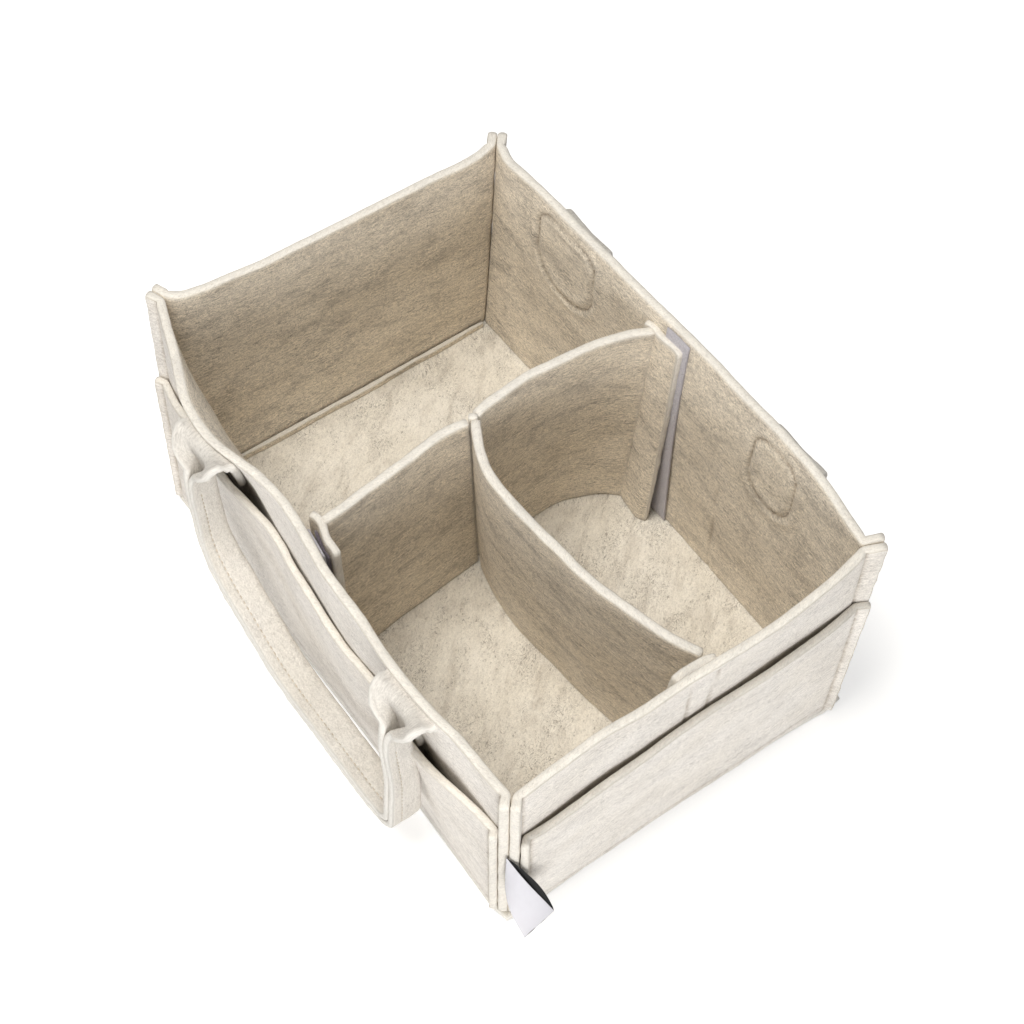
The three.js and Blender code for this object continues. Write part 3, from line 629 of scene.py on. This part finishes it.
def oval_stitch(x0, x1, z0, z1, round_top, round_foot):
    """Plan of a sewn patch's outline on a wall as (x, z) points, with rounded corners."""
    pts = []
    for cx, cz, r, a0 in (
        (x1 - round_top, z1 - round_top, round_top, 90),
        (x1 - round_foot, z0 + round_foot, round_foot, 0),
        (x0 + round_foot, z0 + round_foot, round_foot, -90),
        (x0 + round_top, z1 - round_top, round_top, -180),
    ):
        for k in range(9):
            a = math.radians(a0 - 90 * k / 8)
            pts.append((cx + r * math.cos(a), cz + r * math.sin(a)))
    pts.append(pts[0])
    return np.array(pts)


def groove(points_xz, lines, width=0.9, depth=0.7, puff=0.0):
    """How far the surface sinks at (x, z) points along stitched lines, and swells a little beside them."""
    q = points_xz.reshape(-1, 2)
    best = np.full(len(q), 99.0)
    for line in lines:
        for a, b in zip(line[:-1], line[1:]):
            d = b - a
            t = np.clip(((q - a) @ d) / max(d @ d, 1e-9), 0, 1)
            best = np.minimum(best, np.linalg.norm(q - a - t[:, None] * d, axis=1))
    value = depth * np.exp(-((best / width) ** 2)) - puff * np.exp(-(((best - 4) / 3) ** 2))
    return value.reshape(points_xz.shape[:-1])


# Patches of the far handle show as stitched outlines on the inside of the right wall
FAR_STITCH = [
    oval_stitch(-108.5, -59.5, 104.0, 158.0, 12, 22),
    oval_stitch(76.5, 111.0, 110.0, 156.0, 12, 17),
]
WALL_SEAM = np.array([[58.2, 6.0], [58.2, 81.0]])
# Stitch lines on the outside of the front wall that hold its loop strip
FRONT_SEAMS = [np.array([[-13.5, 162.0], [-13.0, 110.0]]), np.array([[1.6, 163.0], [0.4, 110.0]])]


def right_dents(p):
    xz = p[..., [0, 2]]
    return groove(xz, FAR_STITCH, 1.15, 1.35, 0.8) + groove(xz, [WALL_SEAM], 0.9, 0.9)


# painted shade in the grooves of the far handle's stitch outlines and of the wall's seam
def right_marks(p):
    xz = p[..., [0, 2]]
    return np.clip(groove(xz, FAR_STITCH, 0.85, 1.0) + groove(xz, [WALL_SEAM], 0.8, 0.9), 0, 1)


# painted shade in the grooves of the front wall's outer stitch lines, also standing for the thread's brown
def front_marks(p):
    return np.clip(groove(p[..., 1:], FRONT_SEAMS, 0.9, 0.8), 0, 1)


make_wall("left", 11)
make_wall("front", 12, marks_out=front_marks)
make_wall("right", 13, right_dents, right_marks)
make_wall("back", 14)


def far_stitches():
    """The stitches inside that hold the sewn ends of the far handle."""
    paths, normals = [], []
    for line in FAR_STITCH:
        along = arc(line)
        spots = [WALLS["right"].spot(0, x, z) for x, z in sample(np.arange(0, along[-1], 1.2), along, line)]
        paths.append(np.array([p + n * 0.55 for p, n in spots]))
        normals.append(np.array([-n for p, n in spots]))
    obj = stitches("stitches_inside", paths, normals, 2.6, 1.5, 0.3)
    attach(obj, "caddy")


far_stitches()


# Pockets

def pocket(name, seed, lip_line, gap_line, axis, rows=44, off=even(0)):
    """The sheet outside a wall, by its top edge's height along the wall and its slack there at each x or y.

    off is how far its foot stands off along the wall."""
    wall, lip, slack = WALLS[name], profile(lip_line), profile(gap_line)

    def depth_in(s, r):
        place = wall.place(s, up_of(lip(s)))[..., axis]
        return CLEAR + WALL + 0.3 + slack(place) * r**1.7 + off(s) * (1 - r) ** 1.4

    inner, outer = sheet_grid(wall, lip, depth_in, lambda s, r: depth_in(s, r) + FELT - 0.1, rows)
    normal = unit(outer - inner)
    inside = np.minimum(1, from_ends(inner.shape[1]) / 22.0) ** 2
    rise = np.linspace(0, 1, rows)[:, None]
    swell = 0.35 * (ripple(inner, 30, seed) + 0.4) * inside * np.clip(5 * rise, 0, 1)
    swell = np.maximum(swell, 0)[..., None] * normal
    inner, outer = inner + swell, outer + swell
    # the pocket's corner and foot seams sink on its outer face and get painted shade there
    foot_seam = np.exp(-((outer[..., 2] - FOOT - 7.0) ** 2))
    marks = np.maximum(0.8 * corner_seam(inner), 0.6 * foot_seam)
    outer = outer - normal * (0.9 * marks)[..., None]
    obj = wall_sheet("pocket_" + name, inner, outer, seed, (37.0, 23.0), (0 * marks, marks))
    height = float(np.mean(lip(np.linspace(0, 1, 9)))) - FOOT


# The front pocket's foot runs straight while the wall's foot bends inward
FRONT_OFF = profile([(0, 0), (0.14, 4.6), (0.31, 8.0), (0.41, 9.2), (0.54, 8.8), (0.665, 7.2), (0.79, 5.6),
                    (0.91, 2.8), (1, 0)])
pocket(
    "left", 21,
    [(0, 105), (0.07, 109), (0.17, 119), (0.3, 122), (0.45, 120), (0.65, 119), (0.8, 122), (1, 124)],
    [(-160, 0.2), (-142, 1.8), (-118, 4.2), (-95, 6.4), (-74, 7.0), (-60, 5.0), (-50, 2.6), (-42, 0.6),
     (-10, 0.4), (35, 0.4), (66, 0.4), (80, 1.6), (90, 5.0), (104, 5.8), (122, 5.6), (136, 4.2), (150, 1.8),
     (161, 0.4), (172, 0.0)], 0,
)
pocket(
    "front", 22, [(0, 118.5), (0.12, 121), (0.5, 124.5), (0.8, 125), (0.95, 122), (1, 120)],
    [(-118, 0.0), (-113, 0.2), (-104, 1.2), (-60, 2.3), (-15, 1.8), (0, 1.5), (20, 2.0), (60, 2.2),
     (84, 1.4), (94, 0.3), (100, 0.0)], 1, off=FRONT_OFF,
)
pocket(
    "right", 23, [(0, 84), (0.5, 85), (1, 84)],
    [(-150, 0.2), (-118, 2.2), (-85, 1.0), (-45, 3.4), (5, 4.0), (50, 3.4), (95, 1.0), (125, 2.2),
     (155, 0.2)], 0, 34,
)
pocket(
    "back", 24, [(0, 120.5), (0.5, 122), (1, 120.5)],
    [(-98, 0.2), (-86, 2.4), (-40, 4.2), (30, 4.0), (85, 2.6), (100, 0.2)], 1,
)


# Base

REACH = 9.6  # how far it reaches past the walls' inner foot lines
THICK = 4.0


def outline_ring():
    """The base's outline as (x, y) points."""
    points = []
    s = np.linspace(0.012, 0.988, 60)
    for name, wall in WALLS.items():
        away = REACH + (0.72 * FRONT_OFF(s) if name == "front" else 0 * s)
        points.append((wall.place(s, 0.0) + wall.outward(s, 0.0) * away[:, None])[:, :2])
        corner = wall.foot_ends[1]
        points.append((corner + unit(np.sign(corner)) * (REACH * 1.02 + 0.8))[None])
    return np.concatenate(points)


def base():
    """The base sheet: a fan of rings from the middle to the outline, slightly uneven."""
    ring = outline_ring()
    count = len(ring)
    shares = np.r_[np.linspace(0.0, 0.9, 46)[1:], 0.94, 0.97, 0.99, 1.0]
    layers = [(ring * s, THICK, 0, 0, 0.4 if s == 1 else 0) for s in shares]
    for k in range(1, 5):
        a = math.pi * k / 5
        layers.append((ring + unit(ring) * 0.9 * math.sin(a), THICK / 2 * (1 + math.cos(a)), k, k, 1.0))
    layers += [(ring * s, 0.0, 400, 0, 0.4 if s == 1 else 0) for s in shares[::-1]]
    verts, uvs, rims = [[(0, 0, THICK)]], [[(0, 0)]], [[0]]
    for points, z, u, v, rim in layers:
        verts.append(np.c_[points, np.full(count, z)])
        uvs.append(points + (u, v))
        rims.append(np.full(count, rim))
    verts, uvs, rims = (
        np.concatenate([*parts, [end]]) for parts, end in ((verts, (0, 0, 0)), (uvs, (400, 0)), (rims, 0))
    )
    starts = range(1, len(verts) - 1, count)
    faces = []
    for i in range(count):
        j = (i + 1) % count
        faces.append((0, 1 + i, 1 + j))
        faces.append((len(verts) - 1, starts[-1] + j, starts[-1] + i))
        faces += [(a + i, b + i, b + j, a + j) for a, b in zip(starts, starts[1:])]
    x, y, z = verts.T
    inner = np.clip((0.97 - np.abs(x) / 160) * 20, 0, 1) * np.clip((0.97 - np.abs(y) / 106) * 14, 0, 1)
    verts[:, 2] += (z > THICK - 0.5) * inner * (0.16 * ripple(verts, 14, 31) + 0.1 * ripple(verts, 4, 32))
    obj = mesh_object("base_panel_felt", verts, faces, base_felt, uvs, rim=rims)
    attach(obj, "caddy")
    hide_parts("base_panel")


base()


def foot_strip():
    """The strip along the inside foot of the back wall."""
    front, back = [], []
    for z in np.linspace(4.5, 8.6, 5):
        ys = np.linspace(100.5, -100.5, 84)
        wobble = 0.35 * np.sin(ys * 0.11) + 0.25 * np.sin(ys * 0.037 + 1)
        spots = [WALLS["back"].spot(1, y, z) for y in ys]
        front.append([p - n * (3.55 + w) for (p, n), w in zip(spots, wobble)])
        back.append([p - n * 0.95 for p, n in spots])
    obj = slab("back_foot_strip", np.array(front), np.array(back), shaded_inside_felt, 41, bead=0.5, uv_at=(900, 40))
    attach(obj, "caddy")
    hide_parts("back_foot_strip")


foot_strip()


# Handles: a strap whose section folds lengthwise, carried along a path

HALF = 20.0  # half the strap's width
STEP = 2.6  # from row to row along it
# places across the strap, closest where it folds and where it is sewn
ACROSS = np.array(
    [-20, -18.8, -17.6, -16.4, -15.3, -14.8, -14.4, -14.1, -13.8, -13.4, -12.8, -12.2, -11.4, -10.6,
     -9.6, -8.4, -7.1, -5.8, -4.6, -3.6, -2.7, -1.9, -1.2, -0.6, 0]
) * (HALF - EDGE) / 20
ACROSS = np.r_[ACROSS, -ACROSS[-2::-1]]
SEW = 14.1 * (HALF - EDGE) / 20
# share of the width that is left, by the distance below the bend
WIDTHS = profile(
    [(-12, 1.0), (0, 0.97), (10, 0.885), (22, 0.82), (40, 0.80), (62, 0.83), (88, 0.95), (110, 0.97)]
)


def section(edge, lean, root, reach, share):
    """Middle line of the folded strap: x across and d outward at each place of ACROSS.

    edge is how far from the middle the raw edge lies, lean the edge's direction in degrees,
    root and reach how softly the curve leaves the spine and arrives at the edge."""
    a = math.radians(lean)
    total = (HALF - EDGE) * share
    t = np.linspace(0, 1, 160)[:, None]

    def line(out):
        p3 = np.array([edge, out])
        p2 = p3 - reach * np.array([math.cos(a), math.sin(a)])
        return 3 * np.array([root, 0]) * t * (1 - t) ** 2 + 3 * p2 * t**2 * (1 - t) + p3 * t**3

    low, high = 0.0, total
    for _ in range(28):
        mid = (low + high) / 2
        low, high = (mid, high) if arc(line(mid))[-1] < total else (low, mid)
    curve = line((low + high) / 2)
    along = arc(curve)
    x, d = sample(np.abs(ACROSS * share), along * total / along[-1], curve).T
    return x * np.sign(ACROSS), d


def strap(name, side, legs, spine, bend, top, folds, patch_foot, seed, taper=0.0):
    """One handle: its sewn ends on the wall, the bends near the rim and the folded strap between them.

    bend is the bends' radius and top the height they turn at, side is 1 or -1 for the way outward,
    and taper says how much narrower the sewn ends are below."""
    wall, node = WALLS[name], "handle_" + name
    low_line = through(spine, int(arc(fine_line(spine, 2400))[-1] / STEP))
    count = len(low_line)
    out = np.array([0, float(side), 0])

    def over(x, here, way):
        """Rows of one bend: middle, direction, the face that folds on itself and distance below."""
        rows = []
        for turn in np.linspace(0, math.pi, 9)[:-1]:
            sin, cos = math.sin(turn), math.cos(turn)
            c = np.array([x, here[1] - side * bend * (1 + cos), top + bend * sin])
            run, face = way * np.array([0, side * sin, cos]), np.array([0, -side * cos, sin])
            rows.append((c, run, face, bend * (turn - math.pi)))
        return rows

    rows = over(legs[0], low_line[0], 1)
    distance = arc(low_line)
    for i, (c, run) in enumerate(zip(low_line, unit(np.gradient(low_line, axis=0)))):
        if i < 3:
            run = unit(run * (i + 0.2) + np.array([0, 0, -1.0]) * (3 - i))
        if i > count - 4:
            run = unit(run * (count - 0.8 - i) + np.array([0, 0, 1.0]) * (i - count + 4))
        rows.append((c, run, unit(out - run * (run @ out)), min(distance[i], distance[-1] - distance[i])))
    rows += over(legs[1], low_line[-1], -1)[::-1]

    shapes = [profile([(fold[0], fold[k]) for fold in folds]) for k in (1, 2, 3, 4)]
    front, back, normals = [], [], []
    for c, run, face, drop in rows:
        share = float(WIDTHS(drop))
        edge, *soft = (float(shape(drop)) for shape in shapes)
        x, d = section(min(edge, (HALF - EDGE) * share - 0.02), *soft, share)
        mid = c + x[:, None] * unit(np.cross(run, face)) + d[:, None] * face
        normal = unit(np.cross(unit(np.gradient(mid, axis=0)), run))
        normal = normal * np.sign((normal @ face)[len(x) // 2])
        tight = smooth((drop - 16) / 14)
        pinch = tight * (0.55 * np.exp(-(((np.abs(ACROSS) - SEW) / 0.55) ** 2)))
        half = (FELT / 2 - 0.12 * tight - pinch)[:, None]
        front.append(mid + normal * half)
        back.append(mid - normal * half)
        normals.append(normal)
    front, back, normals = np.array(front), np.array(back), np.array(normals)
    obj = slab(name + "_handle_strap", front, back, strap_felt, seed, uv_at=(seed * 29.0, seed * 13.0),
               rough=0.1, ragged=0.2, turn=True)
    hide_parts(node)
    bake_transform(obj)

    sewn = [i for i, row in enumerate(rows) if row[3] > 26]
    columns = [int(np.argmin(np.abs(ACROSS - k))) for k in (-SEW, SEW)]
    sewing = stitches(
        obj.name + "_stitches", [back[sewn, k] for k in columns], [-normals[sewn, k] for k in columns],
        2.5, 1.0, 0.27, 0.14,
    )
    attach(sewing, node)

    for x, end, patch in ((legs[0], 0, node + "_patch_back"), (legs[1], -1, node + "_patch_front")):
        ins, widths = [], []
        neck = side * (abs(low_line[end][1]) - 2 * bend - FELT / 2)
        for z in np.linspace(patch_foot + EDGE, top - EDGE, 26):
            k = min(1.0, (z - EDGE - patch_foot) / 12.0)
            narrow = (1 - math.sqrt(max(0.0, 1 - (1 - k) ** 2))) * 10.0 + 4.4 * smooth((z - (top - 50)) / 14)
            cut = taper * (1 - smooth((z - (top - 9)) / 8))
            xs = np.linspace(-(HALF - EDGE - narrow), HALF - EDGE - narrow - cut, 18) + x
            widths.append(xs[-1] - xs[0] + 2 * EDGE)
            pts = np.array([p + n * (CLEAR + WALL + 0.25) for p, n in (wall.spot(0, q, z) for q in xs)])
            t = smooth((z - (top - 34)) / 30)
            pts[:, 1] = pts[:, 1] * (1 - t) + neck * t
            ins.append(pts)
        outs = np.array(ins) + out * (FELT - 0.1)
        flat = slab(patch, np.array(ins), outs, strap_felt, seed + 3, uv_at=(x * 3.0 + 700, 300 + seed))
        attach(flat, "caddy")
        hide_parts(patch)


# distance below the bend: raw edge's place, its direction, and the softness at the spine and the edge
LEFT_FOLDS = [
    (-12, 18.8, 0, 6, 6),
    (-5, 18.6, 12, 8, 8),
    (0, 15.5, 52, 9, 9),
    (5, 9.5, 82, 11, 9),
    (10, 4.2, 100, 12, 9),
    (15, 2.5, 94, 9, 10),
    (24, 2.3, 90, 5, 13),
    (40, 2.25, 90, 3.2, 14),
]
strap(
    "left", -1, (-74.0, 107.0),
    [(-74, -132.6, 160), (-73.6, -131.4, 150), (-73, -130.0, 130), (-72.3, -129.2, 110),
     (-69.4, -128.6, 92), (-63.5, -128.0, 82.5), (-54.5, -127.6, 75), (-41, -127.4, 66), (-27, -127.2, 58),
     (-8, -127.1, 47.5), (10, -127.0, 43), (39, -127.0, 42), (71, -127.0, 41), (90, -127.0, 41.5),
     (99.5, -127.1, 44), (105.6, -127.3, 51), (107.4, -127.6, 62), (107.8, -128.4, 86),
     (107.8, -130.6, 112), (107.4, -131.8, 132), (107, -132.2, 150), (107, -133.2, 160)],
    3.2, 160.0, LEFT_FOLDS, 108.0, 51,
    taper=16.0,
)

RIGHT_FOLDS = [
    (-12, 18.8, 0, 6, 6),
    (8, 18.8, 0, 6, 6),
    (20, 18.2, 14, 8, 8),
    (28, 14.5, 56, 9, 9),
    (35, 8.5, 86, 11, 9),
    (41, 3.6, 98, 11, 9),
    (48, 2.4, 92, 7, 11),
    (62, 2.25, 90, 3.2, 14),
]
strap(
    "right", 1, (-85.0, 95.0),
    [(-85, 121.4, 144.5), (-85, 121.7, 138), (-84.7, 122.5, 130), (-83.8, 122.8, 110), (-80.5, 122.8, 92),
     (-74, 122.8, 81.5), (-65, 122.8, 74), (-51, 122.8, 65), (-37, 122.8, 57), (-18, 122.8, 47),
     (0, 122.8, 42.3), (30, 122.8, 41), (60, 122.8, 41), (80, 122.8, 41.6), (88.5, 122.8, 45),
     (93.6, 122.8, 53), (95.2, 122.8, 66), (95.3, 122.8, 90), (95.2, 122.9, 125), (95, 123.4, 138),
     (95, 123.6, 144.5)],
    2.75, 144.5, RIGHT_FOLDS, 97.0, 57,
)


# Divider

TOP = 158.0


def standing(name, node, top, foot, thickness, seed, steps, centred=False, wave=0.3, low=4.4, high=TOP,
             lean_power=0.9, material=shaded_inside_felt, slot="felt", **more):
    """A sheet of the divider standing from a foot line to a top line of (x, y) points.

    It lies to the left of the lines, or to both sides of them where it is centred."""
    a, b = through(top, steps), through(foot, steps)
    front, back = [], []
    for r in np.linspace(0, 1, 58):
        z = low + EDGE + (high - low - 2 * EDGE) * r
        line = b + (a - b) * ((z - low) / (high - low)) ** lean_power
        n = right_of(unit(np.gradient(line, axis=0))) * thickness
        up = np.full(steps, z)
        front.append(np.c_[line - n / 2 if centred else line, up])
        back.append(np.c_[line + n / 2 if centred else line - n, up])
    front, back = np.array(front), np.array(back)
    ends = np.minimum(1, from_ends(steps) / 8.0)[None, :, None]
    shift = unit(back - front) * wave * ripple(front, 40, seed)[..., None] * ends
    obj = slab(name, front + shift, back + shift, material, seed, uv_at=(seed * 31.0, seed * 19.0), **more)
    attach(obj, "divider")
    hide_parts(node)
    return obj


cross_left = standing(
    "cross_left", "divider_cross_left",
    [(-2.4, -103.2), (-3.3, -92.0), (-5.2, -77.5), (-6.9, -63), (-8.6, -50), (-10.6, -37), (-11.9, -27),
     (-11.8, -19), (-10.6, -12.0)],
    [(-10.4, -96.0), (-11.0, -83), (-11.9, -69.75), (-13.8, -56.75), (-15.0, -42.75), (-17.2, -20.75),
     (-18.6, -8), (-19.6, 0.6)],
    PANEL, 61, 46,
)
cross_right = standing(
    "cross_right", "divider_cross_right",
    [(-12.3, -2.9), (-13.9, 3.2), (-15.0, 13.5), (-16.6, 31.85), (-15.2, 49.95), (-12.5, 74.25),
     (-8.1, 90.65), (-2.6, 103.0)],
    [(-20.4, 8.4), (-23.2, 20), (-25.2, 36), (-25.65, 47.0), (-25.0, 62.95), (-21.25, 74.25),
     (-16.0, 85.25), (-8.6, 93.6)],
    PANEL, 62, 54,
)
long_panel = standing(
    "long_panel", "divider_long",
    [(-12.6, -8.9), (-10.6, -10.4), (-6.1, -12.9), (1.1, -16.7), (8.7, -19.9), (15.5, -22.0), (24.1, -23.3),
     (35.2, -23.6), (49, -23.1), (65.85, -21.97), (80.3, -20.9), (96.3, -19.8), (109, -17.6),
     (121.3, -14.4), (133.3, -11.2), (145.2, -7.7), (155, -4.2), (164.6, 0.3)],
    [(-20.6, 3.0), (-18.0, 1.2), (-4, -3.4), (11.45, -6.05), (32.25, -7.15), (49.15, -5.85), (64, -4.4),
     (79.85, -3.7), (98.85, -1.25), (112, 0.9), (126, 2.4), (139.6, 3.6)],
    PANEL, 63, 92,
)


def seam_roll():
    """The sewn end of the long panel, showing as a soft roll between the two cross panels."""
    front, back = [], []
    along = unit(np.array([1.2, 2.0, 0.0]))
    across = np.array([-along[1], along[0], 0.0])
    cols = np.linspace(-1.2, 1.2, 4)[:, None]
    thick = across * (2.3 - 0.25 * (cols / 1.2) ** 2)
    for z in np.linspace(5.6, TOP + 0.4 - EDGE, 64):
        h = (z - FOOT) / (TOP - FOOT)
        middle = np.array([-23.4, 5.6, z]) * (1 - h**0.9) + np.array([-14.1, -6.5, z]) * h**0.9
        front.append(middle + along * cols - thick)
        back.append(middle + along * cols + thick)
    obj = slab("seam_roll", np.array(front), np.array(back), shaded_inside_felt, 64, bead=1.6, uv_at=(1200, 100))
    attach(obj, "divider")


seam_roll()


flap_left = standing(
    "flap_left", "divider_flap_left",
    [(-11.6, -106.8), (-8.6, -105.6), (-4.4, -105.6), (0.6, -107.2), (6, -108.6), (11, -108.8),
     (14.6, -109.3)],
    [(-16.6, -98.6), (-10.5, -98.4), (0, -98.5), (10.9, -98.7)],
    FELT, 65, 24, True, 0.1, lean_power=0.5,
)
flap_right = standing(
    "flap_right", "divider_flap_right",
    [(-11.2, 104.6), (-6, 105.9), (-1.2, 105.3), (4, 105.4), (10, 106.2), (15.4, 105.8)],
    [(-15.5, 98.6), (-8.2, 96.3), (0.5, 94.9), (9.2, 94.6), (12.2, 96.4)],
    FELT, 66, 26, True, 0.15,
)
flap_front = standing(
    "flap_front", "divider_flap_front",
    [(170.0, 6.6), (168.7, 2.8), (168.3, -2), (168.1, -7), (168.0, -12), (168.6, -16.2)],
    [(143.8, 12), (143.2, 6), (143.2, -6), (143.6, -15.4)],
    PANEL, 67, 24, True, 0.1,
)


# Hook and loop strips

def strip(name, axis, start, end, top, seed):
    """A strip of loop tape in front of a wall's inner face, between two places along it."""
    foot, inset, thickness = 4.6, 0.2, 1.2
    front, back = [], []
    for z in np.linspace(foot + 0.3, top - 0.3, 56):
        spots = [WALLS[name].spot(axis, q, z) for q in np.linspace(start, end, 9)]
        front.append([p - n * inset for p, n in spots])
        back.append([p - n * (inset + thickness) for p, n in spots])
    obj = slab("loop_" + name, np.array(front), np.array(back), loop_tape, seed, bead=0.25,
               uv_at=(seed * 11.0, 0), rough=0.03, ragged=0.05)
    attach(obj, "caddy")
    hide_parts("loop_strip_" + name)


strip("left", 0, -0.7, 16.7, 165, 71)
strip("right", 0, 2.3, 19.8, 165, 72)
strip("front", 1, -14.7, 2.7, 161, 73)


def behind(name, top, foot, seed, lean_power=0.9):
    """Hook tape sewn on the outer face of a flap, following the flap's own lines."""
    obj = standing("hook_" + name, "hook_strip_" + name, top, foot, 1.3, seed, 9, True, 0.0, 8.0, 153.0,
                   lean_power, hook_tape, "hook_tape", bead=0.25, rough=0.05, ragged=0.1)


behind("left", [(-5.5, -109.0), (1, -110.6), (6, -111.9), (11.8, -112.2)], [(-7.2, -101.6), (10.0, -101.8)],
       74, lean_power=0.5)
behind("right", [(-2.5, 108.6), (4, 108.6), (12.8, 109.3)], [(-5.0, 98.9), (10.4, 98.3)], 75)
behind("front", [(172.2, 0.6), (171.8, -6), (171.8, -14.0)], [(146.5, 3.5), (146.6, -13.5)], 76)


# Ribbon label

def label():
    """A ribbon folded in half, its two leaves sewn into the corner seam."""
    seam_low, seam_high = np.array([177.6, -122.2, 73.5]), np.array([177.3, -121.8, 104.0])
    fold_low, fold_high = np.array([201.0, -127.75, 60.0]), np.array([197.65, -106.75, 60.0])

    def leaf(name, bulge, back_by, material, seed):
        thickness = 0.4
        v, u = np.meshgrid(np.linspace(0.02, 0.98, 14), np.linspace(0.0, 1.0, 26), indexing="ij")
        v, u = v[..., None], u[..., None]
        p = (seam_low * (1 - v) + seam_high * v) * (1 - u) + (fold_low * (1 - v) + fold_high * v) * u
        arch = np.sin(math.pi * np.minimum(1, u * 1.02))
        p = p + np.array([-2.4, -1.4, -1.8]) * arch * (1 - v) * 0.9
        p = p + np.array(bulge) * np.maximum(np.sin(math.pi * u**1.15), 0) ** 0.8 * v**2
        p = p + np.array([0.5, -0.3, 0.4]) * np.sin(4.2 * u + 0.6) * arch * v
        n = unit(np.cross(np.gradient(p, axis=1), np.gradient(p, axis=0)))
        apart = back_by * np.maximum(np.sin(math.pi * u), 0) ** 0.5
        front = p + np.array([-0.45, 0.5, -0.75]) * apart
        obj = slab(name, front, front + n * thickness, material, seed, bead=0.15, uv_at=(seed * 9.0, 4),
                   rough=0.0, ragged=0.02, lining=material)
        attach(obj, "caddy")
        return obj

    outer = leaf("label_outer", (0.3, -0.6, 0.3), 0.0, label_white, 81)
    leaf("label_inner", (-0.6, 2.6, 0.6), 1.0, label_black, 82)
    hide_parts("side_label")


label()


# Floor, light and camera

def studio():
    """A white floor and surroundings with two soft lamps."""
    r, below = 6.0, -0.0006
    mesh = bpy.data.meshes.new("floor")
    mesh.from_pydata([(-r, -r, below), (r, -r, below), (r, r, below), (-r, r, below)], [], [(0, 1, 2, 3)])
    floor = bpy.data.objects.new("floor", mesh)
    bpy.context.scene.collection.objects.link(floor)
    m = Nodes(bpy.data.materials.new("floor_white"))
    diffuse = m.add("ShaderNodeBsdfDiffuse", {"Color": (0.88, 0.88, 0.88, 1)}).outputs[0]
    glow = m.add("ShaderNodeEmission", {"Strength": 0.42}).outputs[0]
    both = m.add("ShaderNodeAddShader", {0: diffuse, 1: glow}).outputs[0]
    path = m.add("ShaderNodeLightPath").outputs
    seen = m.most(m.most(path["Is Camera Ray"], path["Is Glossy Ray"]), path["Is Transmission Ray"])
    pick = m.add("ShaderNodeMixShader", {0: seen, 1: diffuse, 2: both}).outputs[0]
    m.add("ShaderNodeOutputMaterial", {"Surface": pick})
    mesh.materials.append(m.owner)

    world = bpy.data.worlds.new("studio")
    bpy.context.scene.world = world
    w = Nodes(world)
    plain, white = (
        w.add("ShaderNodeBackground", {"Color": (1, 1, 1, 1), "Strength": strength}).outputs[0]
        for strength in (0.30, 1.0)
    )
    ray = w.add("ShaderNodeLightPath").outputs["Is Camera Ray"]
    pick = w.add("ShaderNodeMixShader", {0: ray, 1: plain, 2: white}).outputs[0]
    w.add("ShaderNodeOutputWorld", {"Surface": pick})

    def lamp(name, place, target, size, power, tint):
        light = bpy.data.lights.new(name, "AREA")
        light.shape = "DISK"
        light.size = size
        light.energy = power
        light.color = tint
        obj = bpy.data.objects.new(name, light)
        obj.location = place
        obj.rotation_mode = "QUATERNION"
        obj.rotation_quaternion = (Vector(target) - Vector(place)).to_track_quat("-Z", "Y")
        bpy.context.scene.collection.objects.link(obj)

    lamp("overhead", (0.03, -0.48, 1.71), (0, 0, 0.08), 0.85, 22.6, (1.0, 0.97, 0.915))
    lamp("front_fill", (1.5, -0.85, 0.42), (0, 0, 0.06), 0.9, 15.0, (1.0, 0.995, 0.985))


studio()


def camera():
    focal, across = 2380.63, 1024  # the photo's focal length and width in pixels
    az, el, roll = math.radians(53.22), math.radians(56.54), math.radians(1.25)
    back = Vector((math.sin(az) * math.cos(el), -math.cos(az) * math.cos(el), math.sin(el)))
    right = (-back).cross(Vector((0, 0, 1))).normalized()
    up = right.cross(-back)
    r = math.cos(roll) * right + math.sin(roll) * up
    u = -math.sin(roll) * right + math.cos(roll) * up
    data = bpy.data.cameras.new("camera")
    data.sensor_width = 36
    data.lens = data.sensor_width * focal / across
    data.clip_start, data.clip_end = 0.05, 30
    obj = bpy.data.objects.new("camera", data)
    place = Vector((0.57195, -0.41805, 1.1523))
    obj.matrix_world = Matrix((*zip(r, u, back, place), (0, 0, 0, 1)))
    bpy.context.scene.collection.objects.link(obj)
    bpy.context.scene.camera = obj


camera()
bpy.context.scene.view_settings.view_transform = "Standard"
